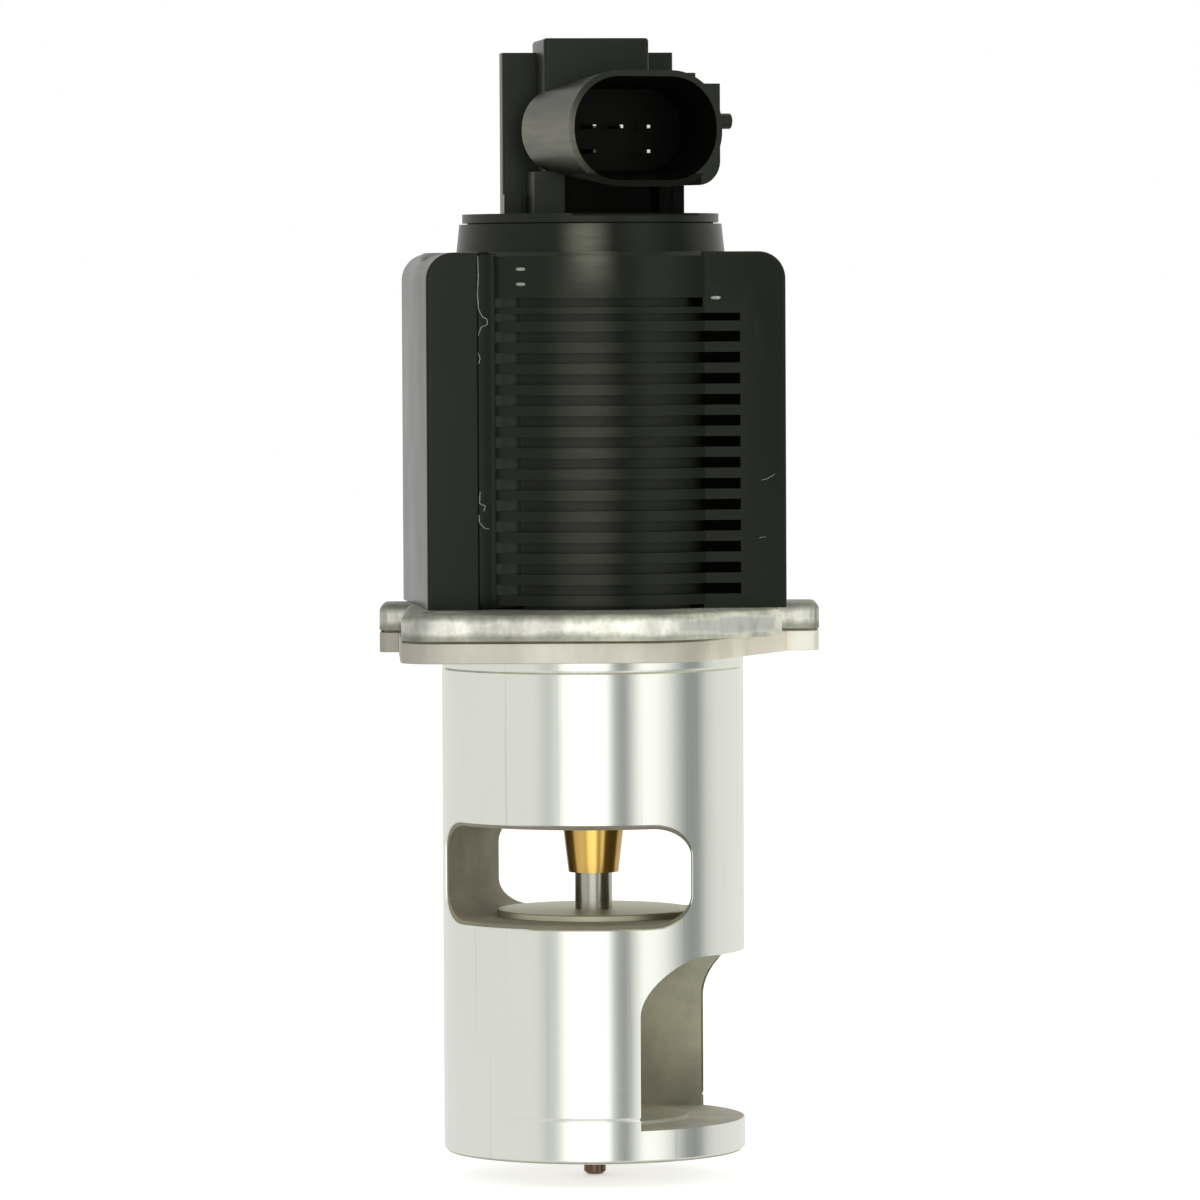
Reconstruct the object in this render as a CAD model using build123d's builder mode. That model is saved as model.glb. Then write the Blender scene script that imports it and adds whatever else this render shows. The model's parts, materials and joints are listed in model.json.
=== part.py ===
from build123d import *

import os
from math import cos, hypot, radians, sin

# Solenoid exhaust-gas recirculation valve, in millimetres.
# The origin is on the valve axis, in the seating plane under the flange. +Z runs up to the sensor cap and
# the finned front of the coil faces -Y. Heights are written from the seating plane.

os.makedirs("parts", exist_ok=True)

# ---- Fits ----------------------------------------------------------------------------------------
RUNNING_GAP = 0.05  # radial gap of a sliding guide
LOOSE_GAP = 0.1  # radial gap between pieces that are only put together
SEAT_GAP = 0.06  # gap that stays between the closed head and its seat
LIFT_GAP = 0.4  # gap between armature and pole piece at full lift
TIP_GAP = 0.3  # gap between the stem's top end and the sensor plunger

# ---- Valve body ----------------------------------------------------------------------------------
BODY_R = 22.5
BODY_DEPTH = 74.4
BODY_EDGE = 0.5
LINE_DEPTH = 0.12  # turned witness lines
LINE_WIDTH = 0.55
UPPER_LINE_DEPTH = 2.1
LOWER_LINE_HEIGHT = 6.5  # above the bottom face
WINDOW_WIDTH = 38.0
WINDOW_HEIGHT = 14.1
WINDOW_CORNER = 4.3
WINDOW_DEPTH = 25.25  # from the seating plane to the window's ceiling
WINDOW_TURN = -25.0  # degrees from the front, positive to the right
WINDOW_EDGE = 0.7
WEB = 5.05  # wall between window and port, which holds the seat ring
PORT_WIDTH = 38.0
PORT_CORNER = 8.5
PORT_FLOOR = 4.8
PORT_TURN = 68.9
PORT_PAST_AXIS = 2.0
CHAMBER_R = 9.0
CHAMBER_DEPTH = 12.0

# ---- Valve train ---------------------------------------------------------------------------------
LIFT = 5.0
STEM_R = 2.8
TIP_R = 1.65  # thin lower end of the stem
TIP_OUT = 3.8  # how far it stands out of the bottom face
HEAD_R = 14.4
HEAD_RISE = 0.95  # top of the head above the window's floor
HEAD_DROP = 2.6  # hub of the head below the window's floor
HEAD_EDGE = 0.15
HUB_WALL = 3.0
HUB_FLARE = 1.2
SEAT_CONE_SPARE = 0.3  # the head's cone is this much shorter than its seat
STEM_TAPER = 1.5  # height over which the stem narrows to its tip, and the run above it
TIP_EDGE = 0.4
THROAT_R = 10.5
SEAT_RING_R = 13.5
SEAT_WIDTH = 1.8  # 45 degree seat
BUSH_TOP_R = 4.65
BUSH_NOSE_R = 3.75
BUSH_NOSE = 7.65
BUSH_SHANK_R = 4.0
PLUG_R = 14.0
PLUG_PROUD = 0.5  # top of the plug above the port's floor
PLUG_INSET = 0.2
LOWER_BUSH_R = 3.2
SEAL_R = 6.0
SEAL_HEIGHT = 3.0
SEAL_LIP = 1.2
RETAINER_HEIGHT = 1.2
RETAINER_GAP = 0.6

# ---- Flange plates -------------------------------------------------------------------------------
LOWER_PLATE = 3.0
GASKET = 0.3
UPPER_PLATE = 3.9
UPPER_PLATE_ROLL = 1.1  # rolled top edge of the sheared plate
FLANGE_TURN = -6.3  # the plates stand slightly turned to the coil
FLANGE_SIDE = 5.2  # how far the plates reach past the body's wall at both sides
FLANGE_HALF_DEPTH = 37.6
LOWER_SHOULDER_X = 14.0  # where the front edge of the lower plate turns back
LOWER_CORNER_Y = -2.0
LOWER_EXTRA = 1.3  # the lower plate is wider at its cut-back corner
UPPER_SHOULDER_X = 10.0
UPPER_CORNER_Y = -25.0
UPPER_BULGE = 1.6  # the upper plate's front edge bulges out towards its shoulder
PLATE_CORNERS = [5.0, 12.0, 4.0]  # radii at bolt corner, shoulder and cut-back corner
LUG_LEFT = 31.8
LUG_RIGHT = 33.9
LUG_WIDTH = 12.0
LUG_CORNER = 1.5
BOLT_CIRCLE_R = 36.9
BOLT_TURN = -125.6  # direction of the first bolt hole in the plates' own frame
BOLT_HOLE_R = 3.3
SIDE_SCREW_OUT = 4.36  # from the body's wall to the screw's axis
SIDE_SCREW_TURN = 31.9
END_SCREW_OUT = 7.5
END_SCREW_TURN = -66.4
SCREW_R = 2.0
SCREW_HEAD_R = 3.8
SCREW_HEAD = 2.0
SCREW_BITE = 3.2
HEX_R = 1.4
HEX_DEPTH = 1.2
GASKET_INSET = 0.7
GASKET_SPARE = 0.5  # the gasket's bolt holes are this much larger than the plates'
GASKET_COVER = 1.0  # how far the gasket reaches under the sleeve's flange

# ---- Coil and magnetic circuit -------------------------------------------------------------------
ARMATURE_R = 8.0
ARMATURE_HEIGHT = 24.0
ARMATURE_START = 6.0
SPRING_POCKET_R = 6.0
SPRING_POCKET = 8.0
STEM_NECK_R = 2.0
STEM_NECK_OUT = 1.0  # how far the neck stands out of its clip
ARMATURE_EDGE = 0.5
CLIP_THICKNESS = 1.0
CLIP_WIDTH = 1.5
CLIP_SLOT = 1.6
SLEEVE_WALL = 0.5
SLEEVE_SPARE = 0.03  # the sleeve is pressed on the pole piece, so its bore is this much wider
SLEEVE_FLANGE_R = 11.0
SLEEVE_FLANGE = 0.6
POLE_BORE_R = 1.9
POLE_HEAD_R = 10.0
POLE_HEAD = 1.5
POLE_EDGE = 0.5
YOKE_WALL = 3.0
YOKE_HALF_WIDTH = 23.6
YOKE_HALF_DEPTH = 14.0
YOKE_DROP = 1.5  # top of the yoke below the top of the housing
YOKE_TAB_HALF = 5.0
YOKE_TAB = 2.0
BOBBIN_WALL = 1.0
BOBBIN_FLANGE = 1.5
WINDING_R = 18.8
WINDING_CHAMBER_R = 19.9
TERMINAL_X = 4.0
TERMINAL_Y = 15.1
TERMINAL_WIDTH = 2.5
TERMINAL_THICKNESS = 0.8
TERMINAL_RISE = 0.4

# ---- Coil housing --------------------------------------------------------------------------------
EAR_HALF_WIDTH = 26.5
EAR_HALF_DEPTH = 21.0
EAR_ROUND = 4.0
EAR_EDGE = 0.5
EAR_INNER = 17.2
EAR_SLANT = 2.0  # the inner edges at front left and back right are cut back by this much
FLUSH_INNER = 14.2  # front right and back left the ears run on flush into the barrel
FLUSH_DEPTH = 9.0
SLOT_OUTER = 19.7  # the flush part is slotted between the fins out to here
SLOT_FLOOR = 16.5  # from the middle plane
HOUSING_HEIGHT = 52.3  # above the upper plate
BARREL_R = 25.5
GROOVE_DEPTH = 2.1
BAND_HEIGHT = 6.75
BAND_EDGE = 0.6
FIN_PITCH = 3.08
FIN_THICKNESS = 1.5
FIRST_FIN_DROP = 10.9  # centre of the first thick fin below the housing's top
THIN_FIN_DROP = 8.55
THIN_FIN = 0.9
COLLAR_R = 20.0
COLLAR_TOP_R = 19.55
COLLAR_HEIGHT = 4.2
COLLAR_BORE_R = 16.4
CEILING = 2.2  # plastic over the yoke

# ---- Sensor cap ----------------------------------------------------------------------------------
CAP_FLANGE_R = 19.1
CAP_FLANGE = 1.3
CAP_SEAM = 0.2
CAP_WALL = 1.7
BLOCK_HALF_WIDTH = 12.8  # the wide block at the back
BLOCK_DEPTH = 4.9
BLOCK_BACK = 7.6
BLOCK_HEIGHT = 24.1
BLOCK_CORNER = 0.6
TOP_EDGE = 0.5
TOWER_HALF_WIDTH = 7.8  # the taller tower in front of it
TOWER_FRONT = 9.2
TOWER_HEIGHT = 25.9
LEG_LEFT = -9.4  # legs under the connector, on both sides of the tower
LEG_LEFT_INNER = -4.9
LEG_RIGHT_INNER = 9.3
LEG_RIGHT = 12.8
LEG_FRONT = 10.0
LEG_HEIGHT = 6.2
LEG_RIB = 1.6  # the right leg's outer edge stands a little further out
LEG_RIB_REACH = 0.6
FOOT_WIDTH = 2.5
FOOT_HEIGHT = 3.0
FOOT_DEPTH = 2.0
CAP_SEAL_HALF = 0.6  # half the side of the square-section cap seal
CAP_SEAL_R = 17.7
SENSOR_BASE_R = 16.2
SENSOR_BASE = 3.0

# ---- Connector -----------------------------------------------------------------------------------
SOCKET_TURN = 18.7  # degrees from the front, positive to the right
SOCKET_X = 5.8
SOCKET_Y = -22.2
SOCKET_HEIGHT = 12.3  # centre line above the top of the cap's flange
SHELL_WIDTH = 24.8
SHELL_HEIGHT = 17.0
SHELL_CORNER = 8.2
SHELL_ROOT_WIDTH = 24.4
SHELL_ROOT_HEIGHT = 12.5
SHELL_ROOT_CORNER = 6.0
SHELL_LENGTH = 17.0
SHELL_WALL = 0.9
SOCKET_DEPTH = 12.0
FRAME_SETBACK = 3.4
FRAME_THICKNESS = 3.0
FRAME_STEP_U = 9.7
FRAME_REACH_U = 13.7
FRAME_TOP = 6.7
FRAME_CORNER = 3.6
FRAME_INSET = 0.25  # the latch frame ends this far below the shell's top and above its bottom
PEG_R = 1.15
PEG_LENGTH = 2.2
PEG_RISE = 1.2
PIN_SIZE = 0.64
PIN_PITCH = 4.4
PIN_UPPER_ROW = 0.45
PIN_LOWER_ROW = -3.2
PIN_TIP_DEPTH = 8.3
PIN_LENGTH = 9.0

# ---- Lift sensor ---------------------------------------------------------------------------------
PLUNGER_R = 1.6
CARRIAGE_WIDTH = 7.0
CARRIAGE_DEPTH = 5.0
CARRIAGE_HEIGHT = 8.0
CARRIAGE_RISE = 4.8  # above the sensor base
BOARD_WIDTH = 11.6
BOARD_THICKNESS = 1.0
BOARD_HEIGHT = 20.0
BOARD_SETBACK = 4.6
WIPER_WIDTH = 4.0
WIPER_LEAF = 0.4
WIPER_GAP = 0.1
WIPER_BOW = 1.6
WIPER_HEIGHT = 6.0

# ---- Springs -------------------------------------------------------------------------------------
RETURN_SPRING_R = 4.8
RETURN_WIRE_R = 0.5
RETURN_TURNS = 4
SENSOR_SPRING_R = 2.3
SENSOR_WIRE_R = 0.3
SENSOR_TURNS = 4
SPRING_END_GAP = 0.05
WIRE_SIDES = 5  # sides of the section that stands for round wire

# ---- Heights worked out from the sizes above -----------------------------------------------------
bottom_z = -BODY_DEPTH
window_top_z = -WINDOW_DEPTH
window_floor_z = window_top_z - WINDOW_HEIGHT
port_top_z = window_floor_z - WEB
port_floor_z = bottom_z + PORT_FLOOR
plug_top_z = port_floor_z + PLUG_PROUD
chamber_floor_z = -CHAMBER_DEPTH
gasket_top_z = LOWER_PLATE + GASKET
plate_top_z = gasket_top_z + UPPER_PLATE
head_top_z = window_floor_z + HEAD_RISE
hub_bottom_z = window_floor_z - HEAD_DROP
armature_top_z = ARMATURE_START + ARMATURE_HEIGHT
pocket_floor_z = armature_top_z - SPRING_POCKET
clip_top_z = pocket_floor_z + CLIP_THICKNESS
stem_top_z = clip_top_z + STEM_NECK_OUT
pole_bottom_z = armature_top_z + LIFT + LIFT_GAP
housing_top_z = plate_top_z + HOUSING_HEIGHT
yoke_top_z = housing_top_z - YOKE_DROP
yoke_under_z = yoke_top_z - YOKE_WALL
yoke_height = yoke_top_z - plate_top_z
pole_top_z = yoke_top_z + POLE_HEAD
ceiling_top_z = yoke_top_z + CEILING
collar_top_z = housing_top_z + COLLAR_HEIGHT
cap_z = collar_top_z + CAP_SEAM
cap_flange_top_z = cap_z + CAP_FLANGE
base_top_z = ceiling_top_z + SENSOR_BASE
block_top_z = cap_flange_top_z + BLOCK_HEIGHT
cap_roof_z = block_top_z - CAP_WALL
carriage_z = base_top_z + CARRIAGE_RISE
carriage_top_z = carriage_z + CARRIAGE_HEIGHT
flange_half_width = BODY_R + FLANGE_SIDE
sleeve_bore_r = ARMATURE_R + RUNNING_GAP + SLEEVE_SPARE
sleeve_r = sleeve_bore_r + SLEEVE_WALL


def facing(turn, x, y, z):
    """Upright plane at (x, y, z) whose normal points out at `turn` degrees to the right of the front."""
    out = Vector(sin(radians(turn)), -cos(radians(turn)), 0)
    across = Vector(cos(radians(turn)), sin(radians(turn)), 0)
    return Plane(origin=(x, y, z), x_dir=across, z_dir=out)


def square_at(plane, u, v, back):
    """Same plane, moved by u across, v up and `back` behind its face."""
    return Plane(
        origin=plane.origin + plane.x_dir * u + plane.y_dir * v - plane.z_dir * back,
        x_dir=plane.x_dir,
        z_dir=plane.z_dir,
    )


def facing_pair(radius, turn):
    """Two opposite spots in the plates' own frame, the first `turn` degrees from +X."""
    x = radius * cos(radians(turn))
    y = radius * sin(radians(turn))
    return [(x, y), (-x, -y)]


def turned(*outline):
    """Solid of revolution about the valve axis from (radius, height) points."""
    with BuildPart() as piece:
        with BuildSketch(Plane.XZ):
            Polygon(*outline, align=None)
        revolve(axis=Axis.Z)
    return piece.part


def spring(radius, wire_r, turns, low_z, high_z):
    """Compression spring that fills the space between two heights."""
    start_z = low_z + wire_r + SPRING_END_GAP
    rise = high_z - low_z - 2 * (wire_r + SPRING_END_GAP)
    with BuildPart() as piece:
        with BuildLine() as coil:
            Helix(pitch=rise / turns, height=rise, radius=radius, center=(0, 0, start_z))
        with BuildSketch(Plane(origin=coil.line @ 0, z_dir=coil.line % 0)):
            RegularPolygon(wire_r, WIRE_SIDES)
        sweep()
    return piece.part


def on_body_wall(edge):
    """True where an edge lies on the turned outside of the valve body."""
    middle = edge @ 0.5
    return abs(hypot(middle.X, middle.Y) - BODY_R) < 0.01


# ---- Valve body ----------------------------------------------------------------------------------
window_face = facing(WINDOW_TURN, 0, 0, window_top_z - WINDOW_HEIGHT / 2)
port_out = facing(PORT_TURN, 0, 0, 0)
port_start = square_at(port_out, 0, 0, PORT_PAST_AXIS)
port_height = port_top_z - port_floor_z

with BuildPart() as valve_body:
    with BuildSketch(Plane.XZ):
        with BuildLine():
            Polyline(
                (0, bottom_z),
                (BODY_R - BODY_EDGE, bottom_z),
                (BODY_R, bottom_z + BODY_EDGE),
                (BODY_R, bottom_z + LOWER_LINE_HEIGHT - LINE_WIDTH / 2),
                (BODY_R - LINE_DEPTH, bottom_z + LOWER_LINE_HEIGHT),
                (BODY_R, bottom_z + LOWER_LINE_HEIGHT + LINE_WIDTH / 2),
                (BODY_R, -UPPER_LINE_DEPTH - LINE_WIDTH / 2),
                (BODY_R - LINE_DEPTH, -UPPER_LINE_DEPTH),
                (BODY_R, -UPPER_LINE_DEPTH + LINE_WIDTH / 2),
                (BODY_R, LOWER_PLATE),
                (0, LOWER_PLATE),
                close=True,
            )
        make_face()
    revolve(axis=Axis.Z)

    # window, open at both ends
    with BuildSketch(window_face):
        RectangleRounded(WINDOW_WIDTH, WINDOW_HEIGHT, WINDOW_CORNER)
    extrude(amount=BODY_R + 1, both=True, mode=Mode.SUBTRACT)
    window_rims = valve_body.edges(Select.LAST).filter_by(on_body_wall)
    chamfer(window_rims, WINDOW_EDGE)

    # side port, milled from one side only
    with BuildSketch(port_start) as port_section:
        with Locations((0, port_floor_z)):
            Rectangle(PORT_WIDTH, port_height, align=(Align.CENTER, Align.MIN))
        fillet(port_section.vertices().group_by(Axis.Y)[-1], PORT_CORNER)
    extrude(amount=BODY_R + PORT_PAST_AXIS + 1, mode=Mode.SUBTRACT)

    # bores along the axis: chamber, guide bush, seat ring, plug
    with BuildSketch(Plane.XZ):
        Polygon(
            (0, bottom_z),
            (PLUG_R, bottom_z),
            (PLUG_R, port_top_z),
            (SEAT_RING_R, port_top_z),
            (SEAT_RING_R, window_floor_z),
            (BUSH_SHANK_R, window_floor_z),
            (BUSH_SHANK_R, chamber_floor_z),
            (CHAMBER_R, chamber_floor_z),
            (CHAMBER_R, LOWER_PLATE),
            (0, LOWER_PLATE),
            align=None,
        )
    revolve(axis=Axis.Z, mode=Mode.SUBTRACT)
valve_body.part.label = "valve_body"
export_step(valve_body.part, "parts/valve_body.step")

# ---- Pieces pressed into the body ----------------------------------------------------------------
bottom_plug = turned(
    (LOWER_BUSH_R, bottom_z + PLUG_INSET),
    (PLUG_R - PLUG_INSET, bottom_z + PLUG_INSET),
    (PLUG_R, bottom_z + 2 * PLUG_INSET),
    (PLUG_R, plug_top_z),
    (LOWER_BUSH_R, plug_top_z),
)
bottom_plug.label = "bottom_plug"
export_step(bottom_plug, "parts/bottom_plug.step")

lower_guide_bush = turned(
    (TIP_R + RUNNING_GAP, bottom_z + 2 * PLUG_INSET),
    (LOWER_BUSH_R, bottom_z + 2 * PLUG_INSET),
    (LOWER_BUSH_R, plug_top_z + PLUG_PROUD),
    (TIP_R + RUNNING_GAP, plug_top_z + PLUG_PROUD),
)
lower_guide_bush.label = "lower_guide_bush"
export_step(lower_guide_bush, "parts/lower_guide_bush.step")

valve_seat_ring = turned(
    (THROAT_R, port_top_z),
    (SEAT_RING_R, port_top_z),
    (SEAT_RING_R, window_floor_z),
    (THROAT_R + SEAT_WIDTH, window_floor_z),
    (THROAT_R, window_floor_z - SEAT_WIDTH),
)
valve_seat_ring.label = "valve_seat_ring"
export_step(valve_seat_ring, "parts/valve_seat_ring.step")

stem_guide_bush = turned(
    (STEM_R + RUNNING_GAP, window_top_z - BUSH_NOSE),
    (BUSH_NOSE_R, window_top_z - BUSH_NOSE),
    (BUSH_TOP_R, window_top_z),
    (BUSH_SHANK_R, window_top_z),
    (BUSH_SHANK_R, chamber_floor_z),
    (STEM_R + RUNNING_GAP, chamber_floor_z),
)
stem_guide_bush.label = "stem_guide_bush"
export_step(stem_guide_bush, "parts/stem_guide_bush.step")

stem_seal = turned(
    (STEM_R + RUNNING_GAP, chamber_floor_z),
    (SEAL_R, chamber_floor_z),
    (SEAL_R, chamber_floor_z + SEAL_HEIGHT),
    (STEM_R + SEAL_LIP, chamber_floor_z + SEAL_HEIGHT),
    (STEM_R + RUNNING_GAP, chamber_floor_z + SEAL_HEIGHT - SEAL_LIP),
)
stem_seal.label = "stem_seal"
export_step(stem_seal, "parts/stem_seal.step")

retainer_top_z = chamber_floor_z + SEAL_HEIGHT + RETAINER_HEIGHT
seal_retainer = turned(
    (SEAL_R, chamber_floor_z),
    (CHAMBER_R, chamber_floor_z),
    (CHAMBER_R, retainer_top_z),
    (STEM_R + RETAINER_GAP, retainer_top_z),
    (STEM_R + RETAINER_GAP, chamber_floor_z + SEAL_HEIGHT),
    (SEAL_R, chamber_floor_z + SEAL_HEIGHT),
)
seal_retainer.label = "seal_retainer"
export_step(seal_retainer, "parts/seal_retainer.step")

# ---- Valve train ---------------------------------------------------------------------------------
valve_stem = turned(
    (0, bottom_z - TIP_OUT),
    (TIP_R - TIP_EDGE, bottom_z - TIP_OUT),
    (TIP_R, bottom_z - TIP_OUT + TIP_EDGE),
    (TIP_R, hub_bottom_z - 2 * STEM_TAPER),
    (STEM_R, hub_bottom_z - STEM_TAPER),
    (STEM_R, ARMATURE_START),
    (STEM_NECK_R, ARMATURE_START),
    (STEM_NECK_R, stem_top_z),
    (0, stem_top_z),
)
valve_stem.label = "valve_stem"
export_step(valve_stem, "parts/valve_stem.step")

rim_under_z = window_floor_z + SEAT_GAP
cone_start_r = THROAT_R + SEAT_WIDTH
cone_depth = SEAT_WIDTH - SEAT_CONE_SPARE
cone_end_r = cone_start_r - cone_depth
poppet_head = turned(
    (STEM_R, hub_bottom_z),
    (STEM_R + HUB_WALL, hub_bottom_z),
    (cone_end_r - HUB_FLARE, rim_under_z - cone_depth),
    (cone_end_r, rim_under_z - cone_depth),
    (cone_start_r, rim_under_z),
    (HEAD_R, rim_under_z),
    (HEAD_R, head_top_z - HEAD_EDGE),
    (HEAD_R - HEAD_EDGE, head_top_z),
    (STEM_R, head_top_z),
)
poppet_head.label = "poppet_head"
export_step(poppet_head, "parts/poppet_head.step")

armature = turned(
    (STEM_NECK_R, ARMATURE_START),
    (ARMATURE_R - ARMATURE_EDGE, ARMATURE_START),
    (ARMATURE_R, ARMATURE_START + ARMATURE_EDGE),
    (ARMATURE_R, armature_top_z - ARMATURE_EDGE),
    (ARMATURE_R - ARMATURE_EDGE, armature_top_z),
    (SPRING_POCKET_R, armature_top_z),
    (SPRING_POCKET_R, pocket_floor_z),
    (STEM_NECK_R, pocket_floor_z),
)
armature.label = "armature"
export_step(armature, "parts/armature.step")

with BuildPart() as armature_clip:
    with BuildSketch(Plane.XY.offset(pocket_floor_z)):
        Circle(STEM_NECK_R + CLIP_WIDTH)
        Circle(STEM_NECK_R, mode=Mode.SUBTRACT)
        with Locations((STEM_NECK_R + CLIP_WIDTH / 2, 0)):
            Rectangle(2 * CLIP_WIDTH, CLIP_SLOT, mode=Mode.SUBTRACT)
    extrude(amount=CLIP_THICKNESS)
armature_clip.part.label = "armature_clip"
export_step(armature_clip.part, "parts/armature_clip.step")

# ---- Flange plates -------------------------------------------------------------------------------
flange_across = (cos(radians(FLANGE_TURN)), sin(radians(FLANGE_TURN)), 0)
flange_plane = Plane(origin=(0, 0, 0), x_dir=flange_across, z_dir=(0, 0, 1))
bolt_spots = facing_pair(BOLT_CIRCLE_R, BOLT_TURN)
screw_spots = facing_pair(BODY_R + SIDE_SCREW_OUT, SIDE_SCREW_TURN)
screw_spots += facing_pair(BODY_R + END_SCREW_OUT, END_SCREW_TURN)


def plate_outline(shoulder_x, corner_x, corner_y, front_bulge):
    """Outline of a flange plate: a two-bolt shape with two corners cut back, the same after half a turn.

    The front edge runs from the bolt corner to (shoulder_x, front) and on to (corner_x, corner_y).
    """
    bolt_corner = (-flange_half_width, -FLANGE_HALF_DEPTH)
    shoulder = (shoulder_x, -FLANGE_HALF_DEPTH - front_bulge)
    corner = (corner_x, corner_y)
    half = [bolt_corner, shoulder, corner]
    other_half = [(-x, -y) for x, y in half]
    lug_reach = LUG_LEFT + LUG_RIGHT
    with BuildSketch() as outline:
        with BuildLine():
            FilletPolyline(*half, *other_half, radius=PLATE_CORNERS * 2, close=True)
        make_face()
        with Locations(((LUG_RIGHT - LUG_LEFT) / 2, LUG_WIDTH / 2)):
            RectangleRounded(lug_reach, LUG_WIDTH, LUG_CORNER)
    return outline.sketch


lower_outline = plate_outline(LOWER_SHOULDER_X, flange_half_width + LOWER_EXTRA, LOWER_CORNER_Y, 0)
upper_outline = plate_outline(UPPER_SHOULDER_X, flange_half_width, UPPER_CORNER_Y, UPPER_BULGE)


def on_flange(height):
    """Flange plane raised to a height."""
    return flange_plane.offset(height)


with BuildPart() as lower_plate:
    with BuildSketch(on_flange(0)):
        add(lower_outline)
        Circle(BODY_R, mode=Mode.SUBTRACT)
        with Locations(*bolt_spots):
            Circle(BOLT_HOLE_R, mode=Mode.SUBTRACT)
    extrude(amount=LOWER_PLATE)
    with Locations(*[on_flange(0) * Location((x, y, 0), (180, 0, 0)) for x, y in screw_spots]):
        CounterSinkHole(SCREW_R + LOOSE_GAP, SCREW_HEAD_R, LOWER_PLATE)
lower_plate.part.label = "lower_plate"
export_step(lower_plate.part, "parts/lower_plate.step")

with BuildPart() as flange_gasket:
    with BuildSketch(on_flange(LOWER_PLATE)):
        offset(lower_outline, amount=-GASKET_INSET)
        Circle(SLEEVE_FLANGE_R - GASKET_COVER, mode=Mode.SUBTRACT)
        with Locations(*bolt_spots):
            Circle(BOLT_HOLE_R + GASKET_SPARE, mode=Mode.SUBTRACT)
        with Locations(*screw_spots):
            Circle(SCREW_R + LOOSE_GAP, mode=Mode.SUBTRACT)
    extrude(amount=GASKET)
flange_gasket.part.label = "flange_gasket"
export_step(flange_gasket.part, "parts/flange_gasket.step")

with BuildPart() as mounting_plate:
    with BuildSketch(on_flange(gasket_top_z)):
        add(upper_outline)
    extrude(amount=UPPER_PLATE)
    fillet(mounting_plate.faces().sort_by(Axis.Z)[-1].outer_wire().edges(), UPPER_PLATE_ROLL)
    with BuildSketch(on_flange(gasket_top_z)):
        Circle(sleeve_r)
        with Locations(*bolt_spots):
            Circle(BOLT_HOLE_R)
    extrude(amount=UPPER_PLATE, mode=Mode.SUBTRACT)
    with BuildSketch(Plane.XY.offset(gasket_top_z)):
        Circle(SLEEVE_FLANGE_R)
    extrude(amount=SLEEVE_FLANGE, mode=Mode.SUBTRACT)
    with BuildSketch(on_flange(gasket_top_z)):
        with Locations(*screw_spots):
            Circle(SCREW_R)
    extrude(amount=SCREW_BITE, mode=Mode.SUBTRACT)
    with BuildSketch(Plane.XY.offset(plate_top_z)):
        with Locations((YOKE_HALF_WIDTH - YOKE_WALL / 2, 0), (YOKE_WALL / 2 - YOKE_HALF_WIDTH, 0)):
            Rectangle(YOKE_WALL, 2 * YOKE_TAB_HALF)
    extrude(amount=-YOKE_TAB, mode=Mode.SUBTRACT)
mounting_plate.part.label = "mounting_plate"
export_step(mounting_plate.part, "parts/mounting_plate.step")

with BuildPart() as plate_screws:
    with BuildSketch(on_flange(0)):
        with Locations(*screw_spots):
            Circle(SCREW_R)
    extrude(amount=gasket_top_z + SCREW_BITE)
    with Locations(*[on_flange(0) * Location((x, y, SCREW_HEAD / 2)) for x, y in screw_spots]):
        Cone(SCREW_HEAD_R - LOOSE_GAP, SCREW_R, SCREW_HEAD)
    with BuildSketch(on_flange(0)):
        with Locations(*screw_spots):
            RegularPolygon(HEX_R, 6)
    extrude(amount=HEX_DEPTH, mode=Mode.SUBTRACT)
plate_screws.part.label = "plate_screws"
export_step(plate_screws.part, "parts/plate_screws.step")

# ---- Magnetic circuit ----------------------------------------------------------------------------
armature_sleeve = turned(
    (sleeve_bore_r, gasket_top_z),
    (SLEEVE_FLANGE_R, gasket_top_z),
    (SLEEVE_FLANGE_R, gasket_top_z + SLEEVE_FLANGE),
    (sleeve_r, gasket_top_z + SLEEVE_FLANGE),
    (sleeve_r, yoke_under_z),
    (sleeve_bore_r, yoke_under_z),
)
armature_sleeve.label = "armature_sleeve"
export_step(armature_sleeve, "parts/armature_sleeve.step")

pole_piece = turned(
    (POLE_BORE_R, pole_bottom_z),
    (sleeve_bore_r, pole_bottom_z),
    (sleeve_bore_r, yoke_top_z),
    (POLE_HEAD_R, yoke_top_z),
    (POLE_HEAD_R, pole_top_z - POLE_EDGE),
    (POLE_HEAD_R - POLE_EDGE, pole_top_z),
    (POLE_BORE_R, pole_top_z),
)
pole_piece.label = "pole_piece"
export_step(pole_piece, "parts/pole_piece.step")

with BuildPart() as yoke_frame:
    with BuildSketch(Plane.XZ) as bracket:
        with Locations((0, plate_top_z)):
            Rectangle(2 * YOKE_HALF_WIDTH, yoke_height, align=(Align.CENTER, Align.MIN))
        fillet(bracket.vertices().group_by(Axis.Y)[-1], YOKE_WALL)
        with Locations((0, plate_top_z)):
            Rectangle(
                2 * (YOKE_HALF_WIDTH - YOKE_WALL),
                yoke_height - YOKE_WALL,
                align=(Align.CENTER, Align.MIN),
                mode=Mode.SUBTRACT,
            )
    extrude(amount=YOKE_HALF_DEPTH, both=True)
    with BuildSketch(Plane.XY.offset(plate_top_z)):
        with Locations((YOKE_HALF_WIDTH - YOKE_WALL / 2, 0), (YOKE_WALL / 2 - YOKE_HALF_WIDTH, 0)):
            Rectangle(YOKE_WALL - 2 * LOOSE_GAP, 2 * (YOKE_TAB_HALF - LOOSE_GAP))
    extrude(amount=-YOKE_TAB + LOOSE_GAP)
    with BuildSketch(Plane.XY.offset(yoke_under_z)):
        Circle(sleeve_bore_r)
    extrude(amount=YOKE_WALL, mode=Mode.SUBTRACT)
yoke_frame.part.label = "yoke_frame"
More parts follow.
